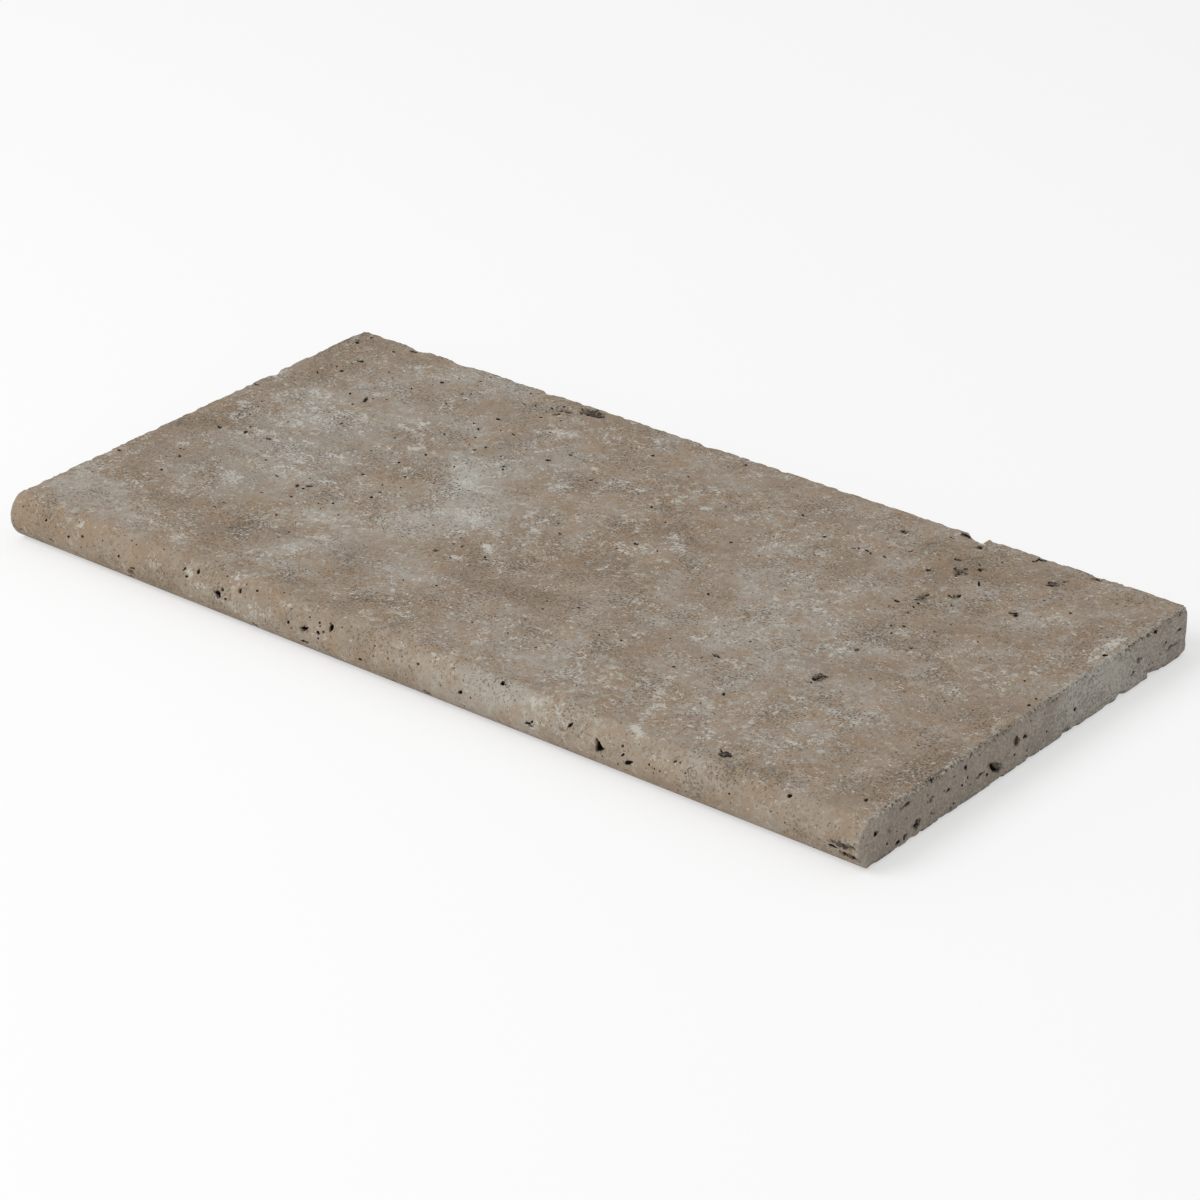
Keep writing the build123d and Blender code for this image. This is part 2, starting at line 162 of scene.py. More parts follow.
# Nose: x, arc length above mid height, length along x, width round the arc, turn, depth.
NOSE_PITS = [
    (-53.7, 9.2, 2.6, 4, 8, 2.2), (-137.7, 3.5, 5.4, 3.6, -30, 1.4), (-135.2, 7, 1.5, 2.2, 20, 1.6),
    (-131.8, 2.2, 2, 1.8, 0, 1.8), (157.7, -0.5, 6.2, 2.2, 32, 1.9), (153.5, 2.6, 2.6, 1.3, 40, 1.2),
    (296.3, -4.8, 3.3, 2.2, -10, 2.2), (66, 15.2, 2.5, 2.3, 0, 2.6), (-72.7, -5.8, 5.7, 2, 5, 1.4),
    (89, -0.8, 5, 1.3, 20, 1.3), (92, 1.2, 2.2, 1.1, 50, 1.1), (-61.7, 3.8, 2.5, 1.9, 0, 2.2),
    (-61.4, 0.8, 1.5, 1.4, 0, 1.7), (-58.3, 5.4, 1.6, 1.5, 0, 1.6), (-62.5, 9.5, 1.5, 1.3, 0, 1.4),
    (-84, 3.2, 1.6, 2.1, 10, 1.6), (-30.7, -2.5, 3, 1.8, 0, 1.4), (117, 7.5, 4.6, 1.5, 55, 1.6),
    (41.7, 1.8, 3, 2, 20, 1.6), (257, 14.8, 2.5, 2.2, 0, 2.2), (301.7, -4.8, 2.6, 1.8, 0, 1.8),
    (289, -2.4, 6, 2, -6, 0.9), (152.2, 7, 1.4, 1.3, 0, 1.5), (171, 3, 1.4, 1.2, 0, 1.4),
    (186, 9.5, 2.6, 1.2, 50, 1.1), (-123, 9.8, 2.4, 4.2, 25, 1), (-156, 11.5, 2.2, 3.6, 20, 0.9),
    (-163, 6.5, 1.8, 1.5, 0, 1.3), (-166, 10, 3, 1.4, 60, 1.1), (-205, -1.5, 3.6, 1.5, 10, 1),
    (-216, 3, 3.2, 1.4, 40, 0.9), (-246, 6, 2.2, 1.6, 0, 1.2), (-257, 2.5, 3.2, 1.7, 30, 1.1),
    (-276, 7, 1.8, 1.5, 0, 1.2), (-112, 13.5, 2, 1.3, 0, 1), (10, 8, 1.8, 1.3, 0, 1.1),
    (223, 4, 1.6, 1.3, 0, 1.1),
]
# Right end: y, z, length along y, height, turn, depth.
END_PITS = [
    (-102.9, 9.6, 2.4, 1.8, 20, 1.8), (-118.8, 4.3, 4, 2.4, 10, 1.4), (-113.2, 4.7, 2.3, 3.4, 0, 1.4),
    (-111.2, 23.3, 5, 1.6, 8, 1.2), (-138.5, 18.3, 2.4, 2.8, 0, 1.4), (-75.8, 15.3, 3.7, 1.3, 30, 1.3),
    (-60.2, 21.7, 3.1, 2.4, -20, 1.5), (-40.6, 8.7, 2.2, 1.8, 0, 1.8), (-46, 11.5, 2.6, 1.6, 20, 1.5),
    (-15.8, 9.6, 1.7, 1.5, 0, 1.4), (-7, 16.8, 3.5, 2.2, 0, 1), (-3.8, 7.1, 1.7, 1.5, 0, 1.3),
    (40.5, 12.3, 2.7, 2.2, 0, 2.4), (118, 26.5, 3, 2.2, 0, 1.4), (101, 17.5, 1.6, 1.6, 0, 1.2),
    (96.5, 11, 1.8, 1.5, 0, 1.2), (128.5, 16, 1.7, 2, 0, 1.2), (141, 18.5, 4.4, 1.2, 15, 1.1),
    (-90, 27, 2.6, 2, 0, 1.2), (-63, 12.5, 1.6, 1.6, 0, 1.3), (-58, 15, 1.7, 1.4, 0, 1.2),
    (-128, 8, 1.6, 1.6, 0, 1.2), (-90, 8.5, 1.5, 1.7, 0, 1.1), (-70, 5, 1.8, 1.3, 0, 1.2),
    (14, 10.5, 1.3, 1.3, 0, 1.1),
]


def evenly(start, stop):
    """Values from start to stop a spacing apart, with the last one left out."""
    count = max(2, round(abs(stop - start) / SPACING))
    return np.linspace(start, stop, count, endpoint=False)


def noise(points, size, seed):
    """Smooth noise from -1 to 1: random values on a cubic lattice of this size, blended by a fade of the
    fifth degree. The lattice repeats every 64 cells."""
    side = 64
    table = np.random.default_rng(seed).uniform(-1, 1, (side, side, side))
    place = points / size
    cell = np.floor(place).astype(int)
    part = place - cell
    fade = part**3 * (part * (part * 6 - 15) + 10)
    total = np.zeros(len(points))
    for corner in np.ndindex(2, 2, 2):
        weight = np.where(corner, fade, 1 - fade).prod(axis=1)
        at = (cell + corner) % side
        total += weight * table[at[:, 0], at[:, 1], at[:, 2]]
    return total


def smooth(value, start, stop):
    """0 before start, 1 after stop, and the cubic 3t2 - 2t3 between them."""
    share = np.clip((value - start) / (stop - start), 0, 1)
    return share * share * (3 - 2 * share)


def half_outline():
    """The upper half of the cross-section, as rows of y and z: from the nose's tip along its arc, along
    the top, round the back arris as a quarter circle, and down the back to mid height."""
    swing = evenly(0, NOSE_ANGLE * NOSE_RADIUS) / NOSE_RADIUS
    flat = evenly(FLAT_FRONT, BACK - ARRIS)
    fall = np.append(evenly(TOP - ARRIS, MIDDLE), MIDDLE)
    y = np.concatenate([
        NOSE_CENTRE - NOSE_RADIUS * np.cos(swing),
        flat,
        BACK - ARRIS + ARRIS * np.sin(QUARTER),
        np.full(len(fall), BACK),
    ])
    z = np.concatenate([
        MIDDLE + NOSE_RADIUS * np.sin(swing),
        np.full(len(flat), TOP),
        TOP - ARRIS + ARRIS * np.cos(QUARTER),
        fall,
    ])
    return y, z


def length_path():
    """The path that carries the section: rows of x and of inset. It starts on the left end's mid line with
    the section shrunk to nothing, opens out over the end, turns a quarter circle onto the long faces,
    runs to the right end and closes there in the same way."""
    opening, run = evenly(MIDDLE, ARRIS), evenly(LEFT + ARRIS, 0)
    x = np.concatenate([np.full(len(opening), LEFT), LEFT + ARRIS - ARRIS * np.cos(QUARTER), run])
    inset = np.concatenate([opening, ARRIS - ARRIS * np.sin(QUARTER), np.zeros(len(run))])
    return np.concatenate([x, [0], -x[::-1]]), np.concatenate([inset, [0], inset[::-1]])


def plain_skin():
    """The skin as a grid of points, path by outline. A point is its outline point moved straight towards
    the section's mid line by the path's inset. The two back corners of the plan are then rounded by the
    map that takes a square to a disc."""
    y, z = half_outline()
    y = np.concatenate([y, y[-2:0:-1]])
    z = np.concatenate([z, 2 * MIDDLE - z[-2:0:-1]])
    x, inset = length_path()
    mid_y = np.clip(y, FRONT + MIDDLE, BACK - MIDDLE)
    share = 1 - inset[:, None] / MIDDLE
    grid = np.empty((len(x), len(y), 3))
    grid[..., 0] = x[:, None]
    grid[..., 1] = mid_y + (y - mid_y) * share
    grid[..., 2] = MIDDLE + (z - MIDDLE) * share
    for side, radius in ((1, RIGHT_CORNER), (-1, LEFT_CORNER)):
        across = np.clip((side * grid[..., 0] - (RIGHT - radius)) / radius, 0, 1)
        along = np.clip((grid[..., 1] - (BACK - radius)) / radius, 0, 1)
        inside = (across > 0) & (along > 0)
        round_x = side * (RIGHT - radius + radius * across * np.sqrt(1 - along**2 / 2))
        round_y = BACK - radius + radius * along * np.sqrt(1 - across**2 / 2)
        grid[..., 0] = np.where(inside, round_x, grid[..., 0])
        grid[..., 1] = np.where(inside, round_y, grid[..., 1])
    return grid


def outward(grid):
    """Unit normals of the skin: the cross product of its two directions. The ends are taken straight out."""
    ahead = np.gradient(grid, axis=0)
    around = np.roll(grid, -1, axis=1) - np.roll(grid, 1, axis=1)
    normal = np.cross(ahead, around)
    normal /= np.maximum(np.linalg.norm(normal, axis=2, keepdims=True), 1e-9)
    flat_end = (np.abs(grid[..., 0]) > RIGHT - 1e-6) & (grid[..., 1] < BACK - RIGHT_CORNER)
    normal[flat_end] = np.sign(grid[flat_end][:, :1]) * [[1, 0, 0]]
    return normal


def skin_faces(rows, columns):
    """Quads between neighbouring points, closed round the outline. At both ends of the path the outline's
    upper and lower points share places on the mid line, so the lower ones take the upper ones' numbers."""
    number = np.arange(rows * columns).reshape(rows, columns)
    half = columns // 2
    number[0, half + 1:] = number[0, half - 1:0:-1]
    number[-1, half + 1:] = number[-1, half - 1:0:-1]
    here, there = number[:-1], number[1:]
    return np.stack([here, there, np.roll(there, -1, 1), np.roll(here, -1, 1)], axis=-1).reshape(-1, 4)


def mesh_object(name, points, faces):
    """An object whose mesh has these points, in millimetres, and these faces."""
    mesh = bpy.data.meshes.new(name)
    mesh.vertices.add(len(points))
    mesh.vertices.foreach_set("co", (points * MM).astype(np.float32).ravel())
    mesh.loops.add(faces.size)
    mesh.loops.foreach_set("vertex_index", faces.astype(np.int32).ravel())
    mesh.polygons.add(len(faces))
    mesh.polygons.foreach_set("loop_start", np.arange(0, faces.size, faces.shape[1], dtype=np.int32))
    mesh.update(calc_edges=True)
    mesh.validate()
    obj = bpy.data.objects.new(name, mesh)
    bpy.context.scene.collection.objects.link(obj)
    return obj


def applied(obj):
    """The object's mesh as its modifiers leave it. The object and its old mesh are removed."""
    bpy.context.view_layer.update()
    shaped = obj.evaluated_get(bpy.context.evaluated_depsgraph_get())
    mesh = bpy.data.meshes.new_from_object(shaped)
    old = obj.data
    bpy.data.objects.remove(obj)
    bpy.data.meshes.remove(old)
    return mesh


def pressed_onto_solid(points, faces):
    """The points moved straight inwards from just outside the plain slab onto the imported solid, so that
    they follow its flakes, slot and pores."""
    obj = mesh_object("skin_on_solid", points, faces)
    wrap = obj.modifiers.new("onto_solid", "SHRINKWRAP")
    wrap.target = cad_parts["coping_stone"]
    wrap.wrap_method = "PROJECT"
    wrap.use_positive_direction = False
    wrap.use_negative_direction = True
    wrap.project_limit = PRESS_REACH * MM
    mesh = applied(obj)
    moved = np.empty(len(mesh.vertices) * 3, np.float32)
    mesh.vertices.foreach_get("co", moved)
    bpy.data.meshes.remove(mesh)
    return moved.reshape(-1, 3).astype(float) / MM


def chance_pits(seed, count, lowest, highest):
    """Rows like those above for a face that the photograph doesn't show: places, sizes, turns and depths
    by chance. The cube of an even draw makes most of them small."""
    draw = np.random.default_rng(seed)
    place = draw.uniform(lowest, highest, (count, 2))
    length = 1.8 + 6.0 * draw.random(count) ** 3
    width = length * draw.uniform(0.4, 0.8, count)
    return np.column_stack([place, length, width, draw.normal(0, 20, count), 1.6 + 0.25 * length])


def pit_depth(places, across, up, ragged):
    """How deep the named pits go at each point. A pit is an ellipse: full depth on its floor, and rising
    from there to nothing at its rim. The rim is ragged: the distance from its centre is shifted by noise."""
    deepest = np.zeros(len(across))
    for at_x, at_y, length, width, turn, depth in places:
        near = np.flatnonzero(np.hypot(across - at_x, up - at_y) < length + width)
        dx, dy = across[near] - at_x, up[near] - at_y
        c, s = cos(radians(turn)), sin(radians(turn))
        reach = np.hypot((dx * c + dy * s) * 2 / length, (dy * c - dx * s) * 2 / width)
        reach += ragged[near] * RAGGED_RIM
        deepest[near] = np.maximum(deepest[near], depth * (1 - smooth(reach, PIT_FLOOR, 1.0)))
    return deepest


def arris_wear(points):
    """How far tumbling has worn the stone back near its sawn arrises: broad bites and fine broken grain,
    fading out a few millimetres from the arris. The distance from an arris is the hypotenuse of the
    distances from its two faces. The nose keeps a crisp rim. Each noise has its lattice and its seed."""
    x, y, z = points.T
    level = np.minimum(TOP - z, z - BED)
    end = np.minimum(RIGHT - x, x - LEFT)
    back = BACK - y
    side = np.minimum(end, back)
    distance = np.minimum(np.hypot(level, side), np.hypot(end, back))
    near = 1 - smooth(distance, 0.3, 2.8)
    bites = smooth(noise(points, 5.5, 1) + 0.6 * noise(points, 2.4, 2), 0.15, 1.0)
    hard = 0.5 + 0.5 * noise(points, 12.0, 6)
    grain = 0.5 + 0.5 * noise(points, 1.5, 3)
    flat = smooth(y, FLAT_FRONT - 4, FLAT_FRONT + 2)
    rim = 1 - smooth(end, 0.2, 1.2)
    upright = 1 - smooth(np.hypot(end, back), 2.0, 7.0)
    broken = (0.3 + 0.8 * hard + 1.2 * upright) * bites + 0.22 * grain
    worn = flat * near * broken + (1 - flat) * rim * 0.2 * grain
    # Three corners are worn more: how deep, and how far from the corner.
    corners = ((RIGHT, BACK, TOP), 0.7, 6), ((RIGHT, BACK, BED), 0.9, 7), ((LEFT, BACK, TOP), 0.6, 6)
    for corner, depth, reach in corners:
        away = np.linalg.norm(points - corner, axis=1)
        worn += depth * (1 - smooth(away, 0.0, reach))
    return worn


def stone_mesh():
    """The tumbled stone: the plain skin pressed onto the solid, then worn at its arrises and pitted, and
    thinned out where it is flat."""
    grid = plain_skin()
    rows, columns = grid.shape[:2]
    faces = skin_faces(rows, columns)
    normal = outward(grid).reshape(-1, 3)
    plain = grid.reshape(-1, 3)
    proud = plain + normal * PROUD
    solid = pressed_onto_solid(proud, faces)

    x, y, z = plain.T
    ragged = noise(plain, 1.9, 4) + 0.6 * noise(plain, 0.9, 5)
    on_top = (z > TOP - 1e-6) & (y >= FLAT_FRONT)
    on_nose = (y < FLAT_FRONT) & (np.abs(x) < RIGHT - 1e-6)
    on_end = np.abs(x) > RIGHT - 1e-6
    on_back = (y > BACK - 1e-6) & ~on_end
    on_bed = (z < BED + 1e-6) & (y >= FLAT_FRONT)
    arc = NOSE_RADIUS * np.arctan2(z - MIDDLE, NOSE_CENTRE - y)
    sunk = np.zeros(len(plain))
    for here, across, up, places in (
        (on_top, x, y, TOP_PITS),
        (on_nose, x, arc, NOSE_PITS),
        (on_nose, x, arc, chance_pits(1, 14, (LEFT + 10, -17), (RIGHT - 10, -10))),
        (on_end & (x > 0), y, z, END_PITS),
        (on_end & (x < 0), y, z, chance_pits(2, 26, (FRONT + 12, 5), (BACK - 8, 24))),
        (on_back, x, z, chance_pits(3, 44, (LEFT + 10, 5), (RIGHT - 10, 23))),
        (on_bed, x, y, chance_pits(4, 90, (LEFT + 8, FLAT_FRONT + 6), (RIGHT - 8, BACK - 8))),
    ):
        sunk[here] = np.maximum(sunk[here], pit_depth(places, across[here], up[here], ragged[here]))
    sunk += arris_wear(plain)
    worn = solid - normal * sunk[:, None]
    lowest, highest = np.array([LEFT, FRONT, BED]), np.array([RIGHT, BACK, TOP])
    obj = mesh_object("worn_skin", np.clip(worn, lowest, highest), faces)
    weld = obj.modifiers.new("closed", "WELD")
    weld.merge_threshold = 0.01 * MM
    thin = obj.modifiers.new("thinned", "DECIMATE")
    thin.ratio = min(1.0, TRIANGLES / (2 * len(faces)))
    thin.use_collapse_triangulate = True
    mesh = applied(obj)
    mesh.name = "tumbled_travertine"
    kept = np.empty(len(mesh.vertices) * 3, np.float32)
    mesh.vertices.foreach_get("co", kept)
    kept = np.clip(kept.reshape(-1, 3), np.array(low, np.float32), np.array(high, np.float32))
    mesh.vertices.foreach_set("co", kept.ravel())
    mesh.update()
    return mesh


def linear(code):
    """The linear colour of an sRGB hex code."""
    part = np.array([int(code[i:i + 2], 16) / 255 for i in (0, 2, 4)])
    value = np.where(part <= 0.04045, part / 12.92, ((part + 0.055) / 1.055) ** 2.4)
    return (*value.tolist(), 1.0)


def add(tree, kind, inputs=None, output=0, **settings):
    """Adds a shader node with its settings, sets or links its inputs, and returns one of its outputs."""
    made = tree.nodes.new("ShaderNode" + kind)
    for name, value in settings.items():
        setattr(made, name, value)
    for key, value in (inputs or {}).items():
        if isinstance(value, bpy.types.NodeSocket):
            tree.links.new(value, made.inputs[key])
        else:
            made.inputs[key].default_value = value
    return None if output is None else made.outputs[output]


def fresh_material(name):
    """A material with an empty node tree."""
    material = bpy.data.materials.new(name)
    material.use_nodes = True
    material.node_tree.nodes.clear()
    return material


# Tone of the top, as soft ellipses: x, y, radii along and across, turn, strength.
PALE_CLOUDS = [
    (-80, -8, 40, 32, 20, 1), (-112, 30, 26, 15, -35, 1.4), (-98, -42, 14, 26, 0, 0.5),
    (-106, 56, 28, 14, 20, 0.9), (-66, -82, 24, 10, 0, 0.45), (84, -45, 16, 11, 0, 0.75),
    (-238, 38, 42, 26, 0, 0.85), (-264, 66, 22, 12, 0, 0.7), (-232, 90, 20, 14, 0, 0.75),
    (-212, -20, 30, 24, 20, 0.85), (-190, 4, 16, 10, -20, 0.7), (-150, -58, 30, 14, 60, 0.75),
    (-128, -92, 26, 12, 70, 0.6), (-285, -114, 46, 20, -55, 0.5), (-252, -128, 26, 8, 60, 0.2),
    (-216, -56, 15, 10, -30, 0.6), (-200, 66, 26, 14, 30, 0.45), (-150, 74, 18, 14, 0, 0.4),
    (-176, 142, 44, 10, 0, 0.6), (-206, 132, 14, 12, 0, 0.4), (84, -28, 26, 24, 0, 0.35),
    (-46, -80, 22, 16, 0, 0.45), (200, 94, 16, 14, 0, 0.4), (160, -45, 40, 24, 20, 0.55),
    (228, -34, 34, 24, 30, 0.25), (205, -8, 26, 14, 0, 0.3), (75, -118, 56, 22, 8, 0.6),
    (40, -100, 30, 16, 0, 0.3), (112, 50, 34, 26, 0, 0.6), (158, 12, 44, 30, 10, 0.45),
    (-62, 56, 14, 12, 0, 0.35), (210, -112, 34, 18, 0, 0.35), (130, -20, 30, 20, 0, 0.3),
    (262, 78, 18, 14, 0, 0.3), (60, 130, 40, 18, 0, 0.2),
]
WHITISH_PATCHES = [
    (-128, 38, 9, 5, -30, 1), (-108, 22, 8, 5, -20, 1), (-95, 24, 6, 5, 0, 1), (-75, -8, 14, 7, -10, 0.7),
    (-40, -33, 9, 3.5, -20, 1.3), (-50, -52, 7, 2.5, 10, 1.1), (-33, -46, 4, 3.5, 0, 1),
    (-60, -38, 3, 5, 0, 0.8), (-25, 79, 3.5, 5.5, 10, 1.1), (22, 84, 6, 2.6, 15, 1.1),
    (-145, 83, 4, 6, -20, 0.9), (-108, 111, 9, 4, 20, 1), (62, -33, 3.5, 4, 0, 0.9),
    (28, -120, 4, 5, 0, 0.9), (-220, -55, 8, 5, -40, 1), (-232, 88, 9, 5, 20, 0.8),
    (-190, 4, 8, 4, -20, 0.9), (-173, -24, 4, 6, 20, 1), (-205, -8, 9, 5, 10, 0.8),
    (-262, 64, 10, 5, 0, 0.8), (-288, 25.5, 5, 5, 0, 1), (-300, 68, 4, 10, 0, 0.8), (-60, 55, 8, 3, 30, 0.8),
    (177, 44, 5, 3, 10, 0.8), (192, 46, 3.5, 3, 0, 0.8), (157, -143, 8, 2.2, -8, 1.4),
    (186, 104, 7, 3, 20, 0.7), (150, -52, 6, 2.2, 10, 0.9), (-160, 16, 4, 6, 30, 0.7),
    (-140, 100, 4, 7, -10, 0.6), (240, -62, 2.4, 7, 10, 0.8), (235, -99, 5, 1.8, -25, 1),
    (-35, 0, 4, 10, 20, 0.4), (-240.6, 99.1, 5.5, 2.4, 0, 1.2), (-260.4, 107.5, 3.6, 3, 0, 1.1),
    (-268.6, 106, 2.6, 2.6, 0, 0.9), (-262.5, 123, 3.4, 2.6, -20, 0.9), (-208.4, 138, 2, 4.4, 0, 0.8),
    (-180.9, 128, 3, 4.2, 0, 0.8), (-213, 52.5, 6, 4, 0, 0.9), (-175.3, 33, 2.6, 3.6, 0, 1.1),
    (-180.4, 66, 2, 7, 0, 0.9), (-190, 59.5, 6, 2, -15, 0.8), (-279.3, 8.7, 5.5, 4.5, 0, 1.1),
    (-248.5, 3, 7, 2.6, 10, 1.1), (-248, -2, 2.6, 3, 0, 1), (-236.4, 0.8, 5.5, 1.8, -50, 0.9),
    (-213.5, 9.2, 3.6, 3, 0, 1), (-249, 16.7, 1.8, 4.6, 0, 0.7), (-220, -16, 7, 3, 35, 1),
    (-207, -15, 5, 1.8, 10, 0.9), (-247.6, -41.2, 3.2, 3, 0, 1), (-234.5, -48.7, 2.4, 1.8, 0, 0.9),
    (-278, -39.8, 7, 4, 0, 0.8), (-264, -26.3, 9, 3.6, -20, 0.8), (-176.7, 13, 2.4, 3.6, 0, 1),
    (-194, -83.2, 4.4, 4, 0, 0.8), (-251.8, -83.2, 3.4, 5, 0, 0.7), (-185.5, -45.4, 2.6, 3.4, 0, 0.8),
    (-163, 42, 4, 5, 0, 0.8), (-151, 45, 2.4, 2.6, 0, 1), (-148, 17.5, 2.4, 2.8, 0, 1),
    (-163.5, -27.5, 3.6, 2.2, 0, 1), (-159, -10.5, 4.6, 2.2, 10, 0.9), (-121, 103.8, 3.4, 3.4, 0, 1),
    (-107.5, 103, 3.6, 2.8, 0, 1), (-97.7, 127, 4.6, 2.4, 45, 0.9), (-158.8, 87, 2.8, 2.4, 0, 0.9),
    (-62.2, 85.6, 5.4, 1.7, -35, 1.3), (-54.3, 135.5, 2, 3.4, 0, 0.9), (-78, 119.2, 1.7, 3.4, 0, 0.9),
    (-97.7, 88.4, 3.4, 2.4, 0, 0.8), (-40.7, 59.5, 4, 2.4, 20, 0.9), (-53, 15, 5, 3.4, -50, 0.8),
    (-52.5, -14, 4.6, 2, -20, 0.9), (-67, -24.5, 2.6, 2.4, 0, 0.9), (-41, 78, 6, 3, 40, 0.6),
    (193.2, 10, 4.2, 1.3, 67, 1.1), (267, 48.2, 1.6, 2.2, 0, 1), (208.5, 34.2, 3, 1.6, -20, 0.9),
    (202.5, 54.5, 2.8, 2.4, 0, 0.8), (187, 6.2, 1.6, 2.2, 0, 0.8), (297, 44.5, 2.6, 2.4, 0, 0.8),
    (189.5, 19.5, 8, 2.4, 30, 0.6), (31, 46.8, 4, 3.4, 0, 1), (37.5, 43.8, 1.6, 1.6, 0, 0.9),
    (38, 36.2, 6.5, 2.8, 0, 0.8), (44, 33, 4.5, 4, 0, 0.7), (72.3, 50.8, 2.6, 1.8, 0, 1),
    (110.5, 48, 3.4, 1.8, 30, 0.9), (65.6, 21, 1.8, 3.8, 20, 1), (46.8, 16.8, 1.8, 1.8, 0, 0.9),
    (5.4, 13.6, 2.4, 2.6, 0, 0.9), (41, 14.4, 3, 2, 0, 0.7), (-23, 25.8, 2.8, 2, 0, 0.8),
    (-26.8, 30, 2.8, 3, 0, 0.8), (23.4, -8.6, 2.6, 2.4, 0, 0.9), (22.4, -14, 1.8, 2, 0, 1),
    (-8.6, -46.8, 2.8, 3.6, 40, 0.9), (103, -30, 2.6, 2, 0, 0.9), (93.6, -25.6, 2.6, 2, 20, 0.8),
    (114.8, -43, 2.2, 5.4, 30, 0.9), (56, -22, 4, 1.4, 0, 0.7), (33, -36.8, 9, 1.8, 5, 0.6),
    (41, -53.6, 1.6, 3.6, 40, 0.9), (-20.8, -65.2, 1.8, 4.6, -10, 1), (-37, -74, 5, 3, 0, 0.8),
    (10.8, -78.2, 2, 3.6, -10, 1), (52.4, -72, 3.4, 2, 0, 0.9), (43, -76.8, 2.6, 2.2, 0, 1),
    (90.2, -71, 2.8, 2.6, 0, 0.9), (88.8, -61, 1.8, 4, 40, 0.8), (108.4, -61.6, 2, 3, 0, 0.7),
    (44, -88.4, 8, 1.1, -3, 0.9), (24, -83, 6, 1.3, 5, 0.7), (45.8, -99, 2.6, 2.4, 0, 0.8),
    (39.2, -106.4, 1.4, 3.2, 10, 0.9), (-2, -108, 4.4, 1.8, 30, 0.9), (-9, -111.8, 3.6, 2.4, -30, 0.9),
    (-34.8, -120.4, 3, 3.6, -30, 1), (-45, -111, 1.9, 3.2, 0, 0.8), (-36.6, -136, 2.6, 2, 0, 0.9),
    (103.5, -98.4, 4, 3.4, -30, 0.7), (227.4, -103.6, 4.4, 1.5, -10, 1.2), (133, -88, 3, 8, 30, 0.7),
    (139.5, -104, 2.6, 9, 20, 0.7), (148, -124, 3.4, 11, 20, 0.9), (153, -138, 4, 7, 10, 0.8),
    (163, -81, 3, 4.6, 0, 0.9), (145, -56, 9, 4, -10, 0.9), (185, -119, 4.5, 3, 0, 0.8),
    (199.5, -81.5, 1.6, 2, 0, 0.9), (231.5, -71, 1.8, 4, -15, 0.9), (244, -101.5, 2, 2.6, 0, 0.9),
    (119, -89.5, 2, 3.4, 0, 0.8), (34, 117.5, 4, 4, 0, 0.7), (37.5, 112, 1.6, 5, 0, 0.7),
    (77.8, 123.4, 3, 2.6, 0, 1.1), (105, 119, 2.4, 3.6, 0, 1), (102.8, 139.4, 2.2, 1.8, 0, 0.9),
    (7, 108.4, 3, 2.2, -10, 1), (5, 126.6, 2.8, 3, 0, 0.9), (13.5, 129, 2.6, 3, 0, 0.8),
    (79.8, 101, 3, 2.2, -20, 0.9), (57.8, 97.6, 1.6, 3, 0, 0.8), (2.5, 79.5, 2.6, 5, 0, 0.9),
    (76, 82.8, 4.4, 2.6, -50, 0.9), (109, 78.5, 5, 2.4, 20, 0.9), (26, 96.4, 2.6, 1.8, 10, 0.9),
    (68, 139.5, 2.4, 2.4, 0, 0.8), (-9.5, 142.5, 2.6, 1.6, 0, 0.8), (297.5, 69, 3, 6, 0, 1.3),
    (293, 79, 4, 6, -30, 1), (297, 90, 3, 8, 0, 1), (289, 72, 4, 3, 20, 0.8),
]
DARK_PATCHES = [
    (-290, 14, 18, 50, 0, 1.2), (-242, -92, 18, 14, 0, 1), (-172, -108, 26, 16, 10, 0.8),
    (12, 30, 30, 44, 0, 0.6), (-55, -44, 18, 18, 0, 0.8), (182, 116, 24, 26, 0, 0.9),
    (184, 66, 12, 32, 8, 0.6), (214, 20, 12, 26, 10, 0.6), (-160, 4, 22, 18, 0, 0.7),
    (-138, 142, 26, 12, 0, 0.7), (-128, 88, 8, 14, -15, 0.3), (0, -26, 60, 26, 0, 0.45),
    (118, -100, 14, 20, 20, 0.5), (292, -60, 14, 70, 0, 0.6), (-90, -132, 24, 12, 0, 0.6),
    (-220, -98, 20, 10, 0, 0.5), (230, 130, 14, 12, 30, 0.7), (160, 132, 18, 12, 0, 0.9),
    (262, 66, 10, 16, 0, 0.4), (50, 80, 40, 10, 0, 0.3), (20, -60, 50, 14, 0, 0.4),
    (-285, 110, 16, 30, 0, 0.5), (-270, -80, 16, 10, 0, 0.5),
]
